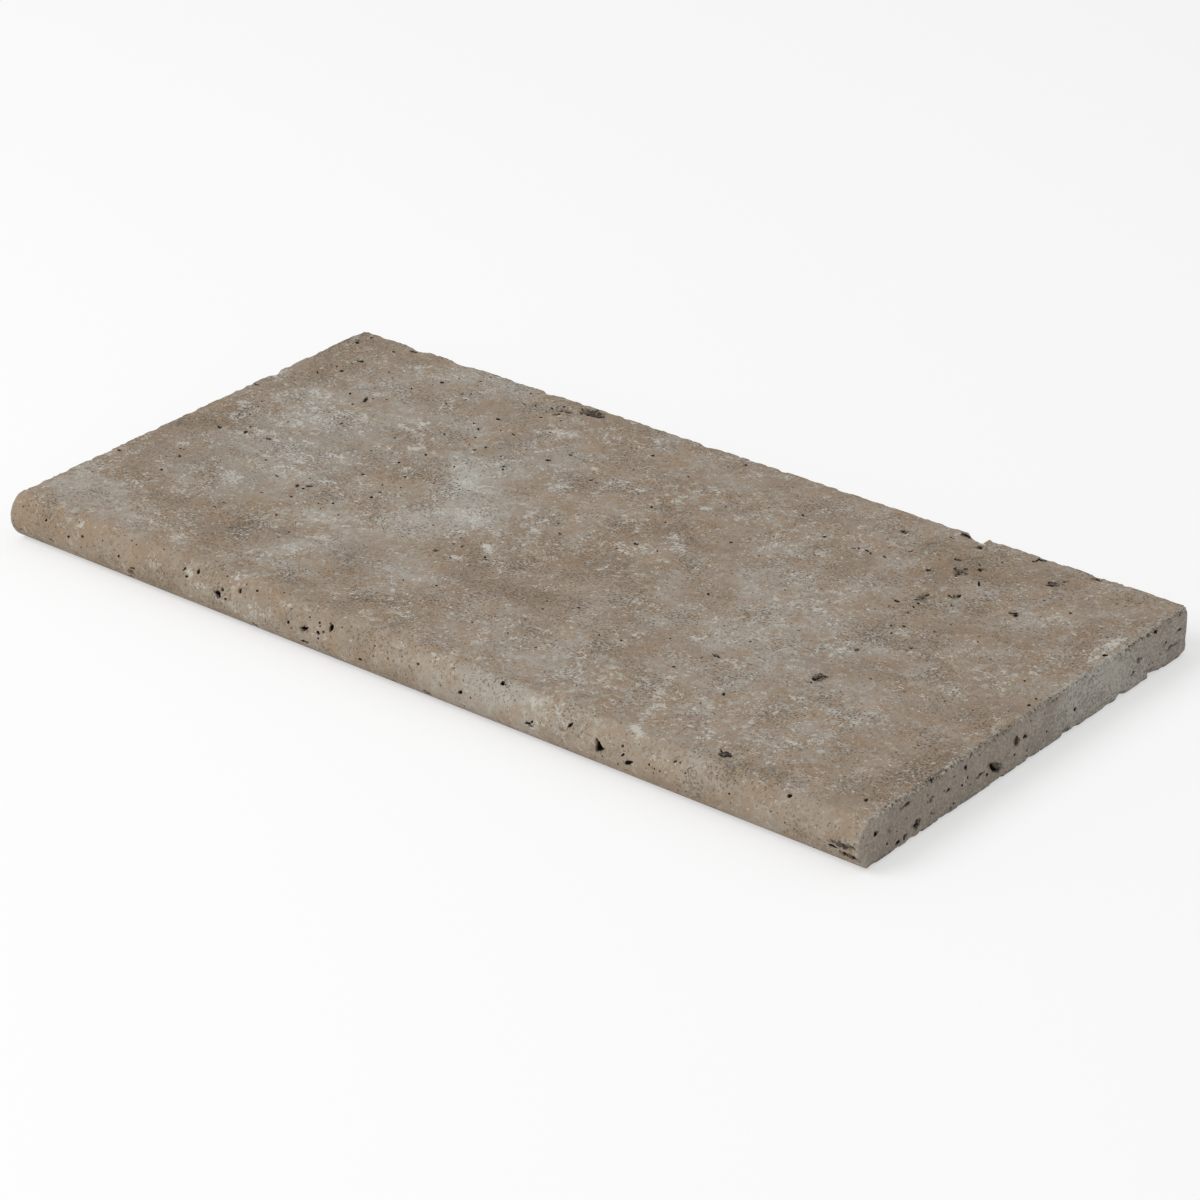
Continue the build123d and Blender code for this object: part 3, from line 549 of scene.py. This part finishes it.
# Dark crackled or stained spots round the deeper pits of the top.
STAINS = [
    (195.3, -38.8, 6.5, 5.5, 50, 1.2), (207.4, -135.4, 6.4, 4.8, -20, 1.1), (235.7, 84.2, 4.6, 3.6, 20, 1),
    (159.5, 147, 7, 3.4, -14, 1.1), (173.5, 139, 4, 3.4, -40, 0.9), (-112, 146, 13, 5, 5, 0.9),
    (-130, 134.5, 8, 7, 50, 0.6), (128.7, 129.8, 4.6, 3.2, -20, 0.9), (232, 128, 5.5, 7, -20, 0.9),
    (-273.3, 115.2, 4.5, 3.6, 0, 0.8), (183, 108, 8, 8, 0, 0.8), (190, 117, 5, 4, 30, 0.8),
    (184, 70, 5.5, 14, 8, 0.7), (198, 82, 4.5, 5, 0, 0.8), (215, 18, 4, 9, 5, 0.5),
    (-64, -52, 4, 3.4, 0, 0.8), (-232, 73, 4.6, 6, 20, 0.7), (-177, -34.8, 4.5, 3.5, 30, 0.7),
    (-296, 138, 7, 4.5, 0, 0.7), (137.7, -53.5, 5, 2, -8, 0.7), (-258, 146, 7, 3.4, 0, 0.6),
    (210, 148, 7, 3.4, 0, 0.7), (246, 147, 7, 3.4, 0, 0.7), (-150, 103, 3.6, 3, 0, 0.6),
    (-152, 60, 3, 5, 0, 0.5), (-128, 78, 3, 6, 0, 0.5),
]
# Shelf of the slot by the back edge, where the pores' painted shade and dust are left out.
UNSHADED_CLEAN_HOLLOWS = [
    (-111.5, 147.6, 10, 3, 4, 2), (-118.5, 143.4, 3, 2, -30, 1.2),
]
# Tone of the film that greys the brown, on the top: as above.
GREY_FILM = [
    (-225, 0, 78, 92, 0, 1.1), (-120, 62, 70, 40, 10, 1), (-180, 132, 46, 22, 0, 1),
    (-100, -88, 66, 34, 0, 0.9), (-228, -50, 46, 26, 0, 0.5), (84, -45, 24, 16, 0, 0.8),
    (178, -20, 52, 36, 20, 0.9), (200, 62, 26, 18, 0, 0.6), (-262, -112, 46, 40, 0, 0.5),
]
# The nose, in x and arc length above mid height.
NOSE_PALE = [
    (70, 8, 60, 20, 0, 0.9), (-250, 5, 64, 24, 0, -0.4), (-44, 9, 26, 16, 0, -0.35),
    (-120, 0, 24, 8, -8, 0.5), (-14, 10, 14, 9, 0, 0.5), (200, 10, 26, 10, 0, 0.3),
]
NOSE_WHITES = [
    (-160, 7.5, 7, 2.6, -38, 1.2), (-152, 4, 9, 2.4, 10, 0.8), (-137, 0.2, 5.5, 2.2, 12, 1),
    (-122, -2.5, 12, 3.2, -24, 1.2), (-105, -1, 9, 5, 20, 0.8), (-128, 12, 5, 6.5, 20, 0.7),
    (-90, 9.8, 5, 3.4, 20, 1), (-67, 9, 3.6, 2.4, -30, 0.8), (-61, 1.6, 7.5, 2.6, 6, 1.4),
    (-56, 3.6, 3.2, 2.4, 0, 0.9), (-38, 6.6, 3.8, 2.3, -12, 1.4), (-48, 13.5, 6, 4, 0, 0.6),
    (-250, 12.5, 9, 4, 0, 0.6), (-238, 14, 5, 3, 0, 0.6), (-4, -6, 3.4, 2.2, 0, 0.9),
    (-44, -6.5, 3.2, 2, 0, 0.9), (48, 3, 5, 3, 0, 0.5), (91, -2.4, 6.5, 1.8, 4, 0.9),
    (131, -2, 4, 3, 0, 0.6), (154, 18.5, 7.5, 2.2, -6, 1.4), (172, 7, 6, 2, 20, 0.7),
    (105, 12, 7, 5, 0, 0.5), (17, 15, 4, 3, 30, 0.7), (-6, 14, 5, 3.4, 40, 0.8),
]
NOSE_STAINS = [
    (-207, -5, 4.5, 3.4, -20, 1), (-271, -4, 3.6, 2.4, 0, 0.8), (-298, -5, 3, 2.6, 0, 0.8),
    (-257, -3, 3, 2, 0, 0.7), (-253, -7.4, 5.5, 2, 0, 0.6), (-214, -4, 4, 2.2, 30, 0.6),
    (16, -8.4, 4.6, 3, 0, 1), (-112, -9, 3.4, 2.6, 0, 0.9), (-59, -3.6, 3.2, 2, 10, 0.7),
    (-73, -6, 4, 2.2, 0, 0.7), (-65, 11, 7, 3.4, 0, 0.5), (-72, 3, 6, 3.4, 10, 0.8),
    (-138, 4, 5, 4.2, -30, 0.7), (139, 1, 7, 5, 10, 0.6), (90, -0.6, 5.6, 2.6, 0, 0.9),
    (157, -0.4, 6, 3, 20, 0.8), (295, 0.4, 12, 2.6, 2, 1.3), (298, -5, 8, 2.8, 0, 1),
    (154, -6.5, 4, 2, 30, 0.6), (117, 7, 3, 4, 0, 0.6),
]
# The right end, in y and height. The row at height 2 that runs the end's whole length is painted light: it
# lifts the shade along the end's foot.
END_PALE_AND_LIT_FOOT = [
    (62, 16, 34, 26, 0, 1.5), (120, 14, 50, 26, 0, 0.8), (20, 20, 30, 18, 0, 0.6), (0, 2, 190, 11, 0, 0.5),
    (-122, 12, 34, 24, 0, -0.45), (-20, 8, 30, 16, 0, -0.35),
]
END_WHITES = [
    (57, 24.5, 7, 4, -30, 0.8), (79, 18.5, 2.2, 2, 0, 1), (118, 24.5, 4, 2.6, 0, 0.9),
    (75, 25, 5, 3, 20, 0.7), (-61, 14, 2.4, 1.8, 0, 0.6),
]
END_STAINS = [
    (-103, 7.6, 6, 3.4, 8, 1.2), (-113, 23.3, 8, 2, 3, 1.1), (-118, 4.6, 4, 2.2, 20, 0.9),
    (-111.5, 5, 2, 3.4, 0, 0.9), (-138, 18.4, 3.2, 2.6, -30, 1), (-126, 15, 6, 3.2, 30, 0.6),
    (-90, 16.6, 4.4, 2, 20, 0.8), (-88, 7.6, 4, 1.8, 0, 0.7), (-75, 15.2, 3.6, 1.8, -20, 0.8),
    (-60, 22, 4, 1.8, -40, 0.8), (-47, 11.4, 7, 1.8, 10, 1), (-34, 10.4, 10, 4.2, -38, 1.2),
    (-24, 12, 8, 1.6, 22, 0.7), (-14, 17.4, 4.2, 5.2, 20, 1.1), (-6.5, 17, 3.4, 3, 0, 0.9),
    (-72, 3.4, 5, 1.8, 0, 0.8), (102, 16.4, 7, 3.2, -12, 0.8), (95.5, 10, 3, 2, 0, 0.8),
    (134, 11, 12, 1.6, -4, 0.9), (127, 15, 3, 2, 0, 0.7), (141, 18, 5, 1.4, 0, 0.8),
    (-144, 14, 4, 8, 0, 0.4), (32, 4.2, 8, 2.6, -10, 0.8), (112, 6, 9, 2.2, -16, 0.7),
]

# Solid noises: lattice in millimetres, detail, roughness, distortion. The tooth of a honed face is really
# about a fifth of a millimetre, and is drawn at 0.9 so that it shows. The finest specks and crumbs, which
# are about half a millimetre, are drawn at one to two for the same reason.
GRAINS = {
    "drift": (36, 3, 0.55, 0.2),
    "ragged": (9, 4, 0.68, 0.6),
    "fine": (1.2, 2, 0.6, 0.0),
    "broad": (40, 3, 0.5, 0.0),
    "bunch": (19, 3, 0.6, 0.0),
    "soiled": (27, 3, 0.55, 0.0),
    "iron": (18, 3, 0.6, 0.4),
    "smudge": (3.4, 4, 0.65, 0.2),
    "wisp": (5.5, 4, 0.7, 0.5),
    "cluster": (5.6, 4, 0.72, 0.4),
    "fleck": (2.4, 3, 0.6, 0.25),
    "chip": (1.35, 1, 0.5, 0.1),
    "speck": (1.5, 2, 0.6, 0.0),
    "grime": (1.8, 3, 0.6, 0.0),
    "powder": (1.3, 3, 0.6, 0.0),
    "gap": (1.7, 3, 0.6, 0.0),
    "tooth": (0.9, 3, 0.6, 0.0),
    "swell": (6.0, 3, 0.6, 0.0),
}

# Colour layers over the ground, from the bottom up. A layer is a grain with a soft threshold: its grain;
# the grain that crowds it, and its weight; weights of the pale clouds, whites, darks, nose and ends;
# the threshold's start and stop; strength and colour.
LAYERS = [
    # Iron staining, a hint of orange in the brown.
    ("iron", "broad", 0.30, -0.04, 0.00, 0.00, 0.02, -0.20, 0.60, 0.78, 0.28, "967652"),
    # Brown smudges.
    ("smudge", "soiled", 0.35, -0.04, -0.05, 0.08, 0.01, 0.06, 0.69, 0.83, 0.50, "75624c"),
    # Wisps of finer calcite along the clouds.
    ("wisp", "broad", 0.30, 0.10, 0.06, -0.06, -0.02, -0.04, 0.67, 0.84, 0.70, "a9a59c"),
    # Whitish clusters.
    ("cluster", "broad", 0.35, 0.07, 0.17, -0.02, -0.02, -0.06, 0.80, 0.87, 0.85, "b8b5ac"),
    # Flecks of calcite of one to three millimetres.
    ("fleck", "bunch", 0.45, 0.03, 0.09, -0.01, -0.03, -0.07, 0.865, 0.91, 0.80, "bdbab2"),
    # White chips, each about a millimetre.
    ("chip", "bunch", 0.45, 0.02, 0.06, 0.00, -0.04, -0.07, 0.91, 0.955, 0.60, "c0bdb6"),
    # Grey specks of about a millimetre.
    ("speck", "soiled", 0.40, 0.00, 0.00, 0.04, 0.00, 0.11, 0.785, 0.85, 0.80, "554f48"),
]


# Settings of a Map Range node that eases in and out.
SOFT = {"interpolation_type": "SMOOTHSTEP"}


def patches(tree, place, listed, spread):
    """The sum of soft ellipses at these places. Each is a ball-shaped gradient with its own mapping: 1 at
    its centre, and falling evenly to 0 at its rim. The spread widens them all."""
    total = 0.0
    for x, y, along, across, turn, strength in listed:
        ellipse = add(tree, "TexGradient", {0: place}, 1, gradient_type="SPHERICAL")
        shape = ellipse.node.texture_mapping
        shape.vector_type = "TEXTURE"
        shape.translation = (x * MM, y * MM, 0)
        shape.rotation = (0, 0, radians(turn))
        shape.scale = (spread * along * MM, spread * across * MM, 1)
        total = add(tree, "Math", {0: ellipse, 1: strength, 2: total}, operation="MULTIPLY_ADD")
    return total


def travertine():
    """Tumbled walnut travertine: a matte limestone of warm brown with pale clouds, whitish flecks of
    calcite, grey specks, pinholes and open pores. Honed flats and nose, and arrises broken to paler grain.
    All its patterns are solid, so they run through the stone from face to face."""
    material = fresh_material("tumbled_travertine")
    tree = material.node_tree
    place = add(tree, "TexCoord", {}, 3)

    # Distances in metres below the plain faces: ends, back and levels. The front's is set out of reach.
    highest, lowest = (RIGHT * MM, BACK * MM, TOP * MM), (LEFT * MM, -1.0, BED * MM)
    from_high = add(tree, "VectorMath", {0: highest, 1: place}, operation="SUBTRACT")
    from_low = add(tree, "VectorMath", {0: place, 1: lowest}, operation="SUBTRACT")
    nearer = add(tree, "VectorMath", {0: from_high, 1: from_low}, operation="MINIMUM")
    end, back, level = add(tree, "SeparateXYZ", {0: nearer}).node.outputs
    from_right, _, under_top = add(tree, "SeparateXYZ", {0: from_high}).node.outputs
    front = add(tree, "SeparateXYZ", {0: place}, 1)
    spoke = add(tree, "VectorMath", {
        0: place, 1: (0, 1, 1), 2: (0, -NOSE_CENTRE * MM, -MIDDLE * MM),
    }, operation="MULTIPLY_ADD")
    spoke_length = add(tree, "VectorMath", {0: spoke}, 1, operation="LENGTH")
    # Behind the front of the flats the nose's own distance doesn't count, so it is pushed out of reach.
    behind = add(tree, "MapRange", {0: front, 1: FLAT_FRONT * MM, 2: (FLAT_FRONT + 2) * MM})
    under_nose = add(tree, "Math", {0: behind, 1: spoke_length}, operation="SUBTRACT")
    under_nose = add(tree, "Math", {0: under_nose, 1: NOSE_RADIUS * MM}, operation="ADD")
    level = add(tree, "Math", {0: level, 1: under_nose}, operation="MINIMUM")
    # The least of level, end and back is the depth below the skin, and the middle one is small only near
    # an arris.
    lesser = add(tree, "Math", {0: level, 1: end}, operation="MINIMUM")
    greater = add(tree, "Math", {0: level, 1: end}, operation="MAXIMUM")
    depth = add(tree, "Math", {0: lesser, 1: back}, operation="MINIMUM")
    rest = add(tree, "Math", {0: greater, 1: back}, operation="MINIMUM")
    second = add(tree, "Math", {0: lesser, 1: rest}, operation="MAXIMUM")

    # The worn band's width is uneven, and the nose's rim has none.
    uneven = add(tree, "TexNoise", {"Vector": place, "Scale": 1 / (5 * MM), "Detail": 3.0})
    ragged_second = add(tree, "Math", {0: uneven, 1: 4 * MM, 2: second}, operation="MULTIPLY_ADD")
    ragged_second = add(tree, "Math", {0: ragged_second, 1: 2 * MM}, operation="SUBTRACT")
    clean_rim = add(tree, "MapRange", {0: front, 1: FLAT_FRONT * MM, 2: (FLAT_FRONT - 3) * MM, 4: 5 * MM})
    ragged_second = add(tree, "Math", {0: ragged_second, 1: clean_rim}, operation="ADD")

    # Shares of the faces, each a soft step of one distance between two lengths in millimetres.
    on_top, on_nose, on_end, on_right, on_arris, off_arris = (
        add(tree, "MapRange", {0: distance, 1: start * MM, 2: stop * MM}, **SOFT)
        for distance, start, stop in (
            (under_top, 6, 3), (front, FLAT_FRONT + 2, FLAT_FRONT - 4), (end, 2.2, 0.6), (from_right, 4, 2),
            (ragged_second, 3.4, 1.2), (second, 4.0, 6.5),
        )
    )

    grains = {}
    for number, (name, (lattice, detail, roughness, distortion)) in enumerate(GRAINS.items()):
        away = add(tree, "VectorMath", {0: place, 1: (0.7 * number, 1.9 - 0.3 * number, 0.4 * number)},
                   operation="ADD")
        grains[name] = add(tree, "TexNoise", {
            "Vector": away, "Scale": 1 / (lattice * MM), "Detail": detail, "Roughness": roughness,
            "Distortion": distortion,
        })

    # Places moved about by noise, so that no ellipse shows: lattice, detail and reach in millimetres.
    far_place, near_place, pit_place = (
        add(tree, "VectorMath", {
            0: add(tree, "VectorMath", {
                0: add(tree, "TexNoise", {
                    "Vector": place, "Scale": 1 / (lattice * MM), "Detail": detail, "Roughness": 0.6,
                }, 1), 1: (0.5, 0.5, 0.5),
            }, operation="SUBTRACT"),
            1: (reach * MM,) * 3, 2: place,
        }, operation="MULTIPLY_ADD")
        for lattice, detail, reach in ((15, 4.0, 26), (3.5, 3.0, 6), (1.2, 2.0, 1.6))
    )
    # The same places on the nose, in x and arc length, and on the ends, in y and height.
    unrolled = []
    for moved in (near_place, pit_place):
        along, across, height = add(tree, "SeparateXYZ", {0: moved}).node.outputs
        rise = add(tree, "Math", {0: height, 1: MIDDLE * MM}, operation="SUBTRACT")
        ahead = add(tree, "Math", {0: NOSE_CENTRE * MM, 1: across}, operation="SUBTRACT")
        arc = add(tree, "Math", {0: rise, 1: ahead}, operation="ARCTAN2")
        arc = add(tree, "Math", {0: arc, 1: NOSE_RADIUS * MM}, operation="MULTIPLY")
        unrolled.append(add(tree, "CombineXYZ", {0: along, 1: arc}))
        unrolled.append(add(tree, "CombineXYZ", {0: across, 1: height}))
    nose_place, end_place, nose_pit_place, end_pit_place = unrolled

    # Soft patches of each kind, summed over the faces that have them. The rows of the top, the nose and
    # the right end each have their own places and spread.
    sums = []
    for rows in (
        ((far_place, PALE_CLOUDS, 1.45), (nose_place, NOSE_PALE, 1.4), (end_place, END_PALE_AND_LIT_FOOT, 1.4)),
        ((near_place, WHITISH_PATCHES, 1.6), (nose_place, NOSE_WHITES, 1.4), (end_place, END_WHITES, 1.4)),
        ((far_place, DARK_PATCHES, 1.45),),
        ((near_place, STAINS, 1.1), (nose_place, NOSE_STAINS, 1.1), (end_place, END_STAINS, 1.1)),
        ((far_place, GREY_FILM, 1.2),),
        ((pit_place, TOP_PITS, 0.58), (nose_pit_place, NOSE_PITS, 0.54), (end_pit_place, END_PITS, 0.54)),
    ):
        total = 0.0
        for (moved, listed, spread), share in zip(rows, (on_top, on_nose, on_right)):
            total = add(tree, "Math", {0: patches(tree, moved, listed, spread), 1: share, 2: total},
                        operation="MULTIPLY_ADD")
        sums.append(total)
    clouds_and_lit_foot, whites, darks, stains, film, pits = sums

    # Paleness of the ground, brown to pale grey, with painted light along the right end's foot.
    pale = 0.36
    for name, weight in (("drift", 1.25), ("ragged", 1.0), ("fine", 0.6)):
        drift = add(tree, "Math", {0: grains[name], 1: 0.5}, operation="SUBTRACT")
        pale = add(tree, "Math", {0: drift, 1: weight, 2: pale}, operation="MULTIPLY_ADD")
    for share, weight in ((clouds_and_lit_foot, 0.46), (darks, -0.22), (on_nose, -0.02), (on_end, 0.06)):
        pale = add(tree, "Math", {0: share, 1: weight, 2: pale}, operation="MULTIPLY_ADD")
    tones = add(tree, "ValToRGB", {0: pale}).node
    tones.color_ramp.elements[0].color = linear("857768")
    tones.color_ramp.elements[1].color = linear("a9a69f")
    for at, code in ((0.25, "8e7f6f"), (0.5, "978b7d"), (0.75, "9e978e")):
        tones.color_ramp.elements.new(at).color = linear(code)
    colour = tones.outputs[0]
    film = add(tree, "Math", {0: film, 1: 0.5, 2: grains["bunch"]}, operation="MULTIPLY_ADD")
    film = add(tree, "MapRange", {0: film, 1: 0.55, 2: 1.0, 4: 0.5}, **SOFT)
    colour = add(tree, "Mix", {0: film, 6: colour, 7: linear("908a81")}, 2, data_type="RGBA")

    for name, crowd, crowd_weight, *weights, start, stop, strength, code in LAYERS:
        value = add(tree, "Math", {
            0: grains[crowd], 1: crowd_weight, 2: grains[name],
        }, operation="MULTIPLY_ADD")
        for share, weight in zip((clouds_and_lit_foot, whites, darks, on_nose, on_end), weights):
            if weight:
                value = add(tree, "Math", {0: share, 1: weight, 2: value}, operation="MULTIPLY_ADD")
        mask = add(tree, "MapRange", {0: value, 1: start, 2: stop, 4: strength}, **SOFT)
        colour = add(tree, "Mix", {0: mask, 6: colour, 7: linear(code)}, 2, data_type="RGBA")

    # Crackle and grime round the stained pits.
    crack = add(tree, "TexVoronoi", {
        "Vector": near_place, "Scale": 1 / (2.6 * MM),
    }, feature="DISTANCE_TO_EDGE")
    crack = add(tree, "MapRange", {0: crack, 1: 0.16, 2: 0.03}, **SOFT)
    stained = add(tree, "MapRange", {0: stains, 1: 0.25, 2: 0.7}, **SOFT)
    crack = add(tree, "Math", {0: crack, 1: stained}, operation="MULTIPLY")
    grime = add(tree, "Math", {0: grains["grime"], 1: 0.9, 2: stains}, operation="MULTIPLY_ADD")
    grime = add(tree, "MapRange", {0: grime, 1: 0.75, 2: 1.3, 4: 0.75}, **SOFT)

    # Pinholes up to about a millimetre across, closer together on the nose and the ends, their near-black a
    # painted shade in the holes.
    hole = add(tree, "TexVoronoi", {"Vector": place, "Scale": 1 / (5.0 * MM)}).node
    chance = add(tree, "SeparateColor", {0: hole.outputs["Color"]})
    edge = add(tree, "Math", {0: on_nose, 1: on_end}, operation="MAXIMUM")
    chance = add(tree, "Math", {0: edge, 1: 0.30, 2: chance}, operation="MULTIPLY_ADD")
    reach = add(tree, "MapRange", {0: chance, 1: 0.68, 2: 0.93, 4: 0.13})
    reach = add(tree, "Math", {0: reach, 1: hole.outputs["Distance"]}, operation="SUBTRACT")
    pinhole = add(tree, "MapRange", {0: reach, 1: -0.01, 2: 0.05, 4: 0.9}, **SOFT)

    # Broken grain along the arrises here and there: paler crumbs, dark gaps and a grey film. The gaps' dark
    # colour is painted shade between the crumbs.
    powder, gap, bruise = (
        add(tree, "Math", {
            0: add(tree, "MapRange", {
                0: add(tree, "Math", {0: grains[crowd], 1: 0.5, 2: grains[name]}, operation="MULTIPLY_ADD"),
                1: start, 2: stop, 4: strength,
            }, **SOFT),
            1: on_arris,
        }, operation="MULTIPLY")
        for name, crowd, start, stop, strength in (
            ("powder", "bunch", 0.80, 0.90, 0.85), ("gap", "soiled", 0.80, 0.88, 0.9),
            ("swell", "iron", 0.68, 0.80, 0.5),
        )
    )

    # Painted shade in the pores and pits, deepened by dust: the deeper a point lies below the plain faces,
    # the darker. Broken arrises lie as deep, but aren't darkened.
    inside = add(tree, "Math", {0: grains["grime"], 1: -2.4 * MM, 2: depth}, operation="MULTIPLY_ADD")
    shallow_shade_and_dust, inside = (
        add(tree, "Math", {
            0: add(tree, "MapRange", {0: inside, 1: start * MM, 2: stop * MM, 4: strength}, **SOFT),
            1: off_arris,
        }, operation="MULTIPLY")
        for start, stop, strength in ((-0.9, 0.1, 0.65), (-0.5, 0.8, 0.97))
    )
    shade_and_dust_kept = add(tree, "MapRange", {0: patches(tree, near_place, UNSHADED_CLEAN_HOLLOWS, 1.4), 3: 1, 4: 0})
    inside = add(tree, "Math", {0: inside, 1: shade_and_dust_kept}, operation="MULTIPLY")
    # The listed pits are painted near black too: painted shade inside them, with some dust.
    pits = add(tree, "Math", {0: grains["grime"], 1: -0.9, 2: pits}, operation="MULTIPLY_ADD")
    pits = add(tree, "MapRange", {0: pits, 1: -0.36, 2: -0.16, 4: 0.97}, **SOFT)
    inside = add(tree, "Math", {0: inside, 1: pits}, operation="MAXIMUM")

    # The honed nose shows more of the tan ground, and the ends were sawn across the beds and are greyer.
    for mask, strength, code in ((on_nose, 0.18, "a1937f"), (on_end, 0.45, "a79f94")):
        mask = add(tree, "Math", {0: mask, 1: strength}, operation="MULTIPLY")
        colour = add(tree, "Mix", {0: mask, 6: colour, 7: linear(code)}, 2, data_type="RGBA")
    # Among these, the pores' two dark colours are painted shade, partly dust, and the pinholes' and the
    # gaps' dark colours are painted shade.
    for mask, code in (
        (bruise, "6f675d"), (grime, "4f473e"), (crack, "2b241d"), (pinhole, "241d17"), (powder, "b9b4a8"),
        (gap, "3a322a"), (shallow_shade_and_dust, "4d4338"), (inside, "0c0907"),
    ):
        colour = add(tree, "Mix", {0: mask, 6: colour, 7: linear(code)}, 2, data_type="RGBA")

    # Relief, in metres of height: three grains of the surface, and the pinholes.
    height = 0.0
    for share, weight in (
        (grains["tooth"], 0.15), (grains["swell"], 0.24), (grains["speck"], -0.22), (pinhole, -0.5),
    ):
        height = add(tree, "Math", {0: share, 1: weight * MM, 2: height}, operation="MULTIPLY_ADD")
    relief = add(tree, "Bump", {"Strength": 1.0, "Distance": 1.0, "Height": height})
    # The brown is rougher than the pale calcite.
    rough = add(tree, "MapRange", {0: pale, 3: 0.84, 4: 0.72})
    # The IOR is calcite's, but dust and microscopic hollows leave less gloss than clean calcite has.
    shader = add(tree, "BsdfPrincipled", {
        "Base Color": colour, "Roughness": rough, "IOR": 1.49,
        "Specular IOR Level": 0.22, "Normal": relief,
    })
    add(tree, "OutputMaterial", {"Surface": shader}, None)
    return material


stone = bpy.data.objects.new("tumbled_stone", stone_mesh())
bpy.context.scene.collection.objects.link(stone)
stone.data.polygons.foreach_set("use_smooth", np.ones(len(stone.data.polygons), bool))
stone.data.set_sharp_from_angle(angle=radians(40))
weighted = stone.modifiers.new("even_flats", "WEIGHTED_NORMAL")
weighted.keep_sharp = True
weighted.weight = 60
stone.data.materials.append(travertine())
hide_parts("coping_stone")
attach(stone, "root")


def background_share(tree):
    """1 for the rays that show the background white: the camera's, and reflected and transmitted ones."""
    ray = add(tree, "LightPath").node
    share = ray.outputs["Is Camera Ray"]
    for kind in ("Is Glossy Ray", "Is Transmission Ray"):
        share = add(tree, "Math", {0: share, 1: ray.outputs[kind]}, operation="MAXIMUM")
    return share


def studio():
    """A pale floor, a soft key from the front left and a pale surrounding."""
    floor_material = fresh_material("pale_floor")
    tree = floor_material.node_tree
    seen = add(tree, "Math", {0: background_share(tree), 1: 0.5}, operation="MULTIPLY")
    matte = add(tree, "BsdfDiffuse", {"Color": linear("f6f6f6")})
    glow = add(tree, "Emission", {"Color": (1, 1, 1, 1), "Strength": 1.0})
    mixed = add(tree, "MixShader", {0: seen, 1: matte, 2: glow})
    add(tree, "OutputMaterial", {"Surface": mixed}, None)
    reach, drop = 6000, 0.3
    corners = np.array([(-1, -1, 0), (1, -1, 0), (1, 1, 0), (-1, 1, 0)]) * reach - (0, 0, drop)
    floor = mesh_object("floor", corners, np.array([[0, 1, 2, 3]]))
    floor.data.materials.append(floor_material)

    world = bpy.data.worlds.new("pale_studio")
    bpy.context.scene.world = world
    world.use_nodes = True
    tree = world.node_tree
    tree.nodes.clear()
    around = add(tree, "Background", {"Color": (1, 1, 1, 1), "Strength": 0.66})
    white = add(tree, "Background", {"Color": (1, 1, 1, 1), "Strength": 1.0})
    mixed = add(tree, "MixShader", {0: background_share(tree), 1: around, 2: white})
    add(tree, "OutputWorld", {"Surface": mixed}, None)

    key = bpy.data.lights.new("soft_key", "AREA")
    key.shape = "DISK"
    key.size = 2.6
    key.energy = 84
    lamp = bpy.data.objects.new("soft_key", key)
    bpy.context.scene.collection.objects.link(lamp)
    toward, metres_away = Vector((-0.45, -0.70, 0.80)).normalized(), 4
    lamp.location = toward * metres_away
    lamp.rotation_mode = "QUATERNION"
    lamp.rotation_quaternion = toward.to_track_quat("Z", "Y")


def photograph_camera():
    """The camera of the photograph: it looks from azimuth 39.85 and elevation 27.25 degrees, rolled by
    0.72 degrees, at a point near the middle of the stone 2368 mm away."""
    azimuth, elevation, roll = radians(39.8467), radians(27.2518), radians(-0.7241)
    target, distance = Vector((11.869, 0.690, 0)) * MM, 2368.252
    focal_length, frame_width = 4203.795, 1200  # in pixels
    back = Vector((sin(azimuth) * cos(elevation), -cos(azimuth) * cos(elevation), sin(elevation)))
    across = Vector((0, 0, 1)).cross(back).normalized()
    upward = back.cross(across)
    right = cos(roll) * across + sin(roll) * upward
    up = -sin(roll) * across + cos(roll) * upward
    data = bpy.data.cameras.new("photograph")
    data.sensor_width = 36
    data.lens = data.sensor_width * focal_length / frame_width
    data.clip_start, data.clip_end = 0.1, 50
    camera = bpy.data.objects.new("photograph", data)
    bpy.context.scene.collection.objects.link(camera)
    turned = Matrix((right, up, back)).transposed().to_4x4()
    camera.matrix_world = Matrix.Translation(target + back * distance * MM) @ turned
    bpy.context.scene.camera = camera


studio()
photograph_camera()
bpy.context.scene.view_settings.view_transform = "Standard"
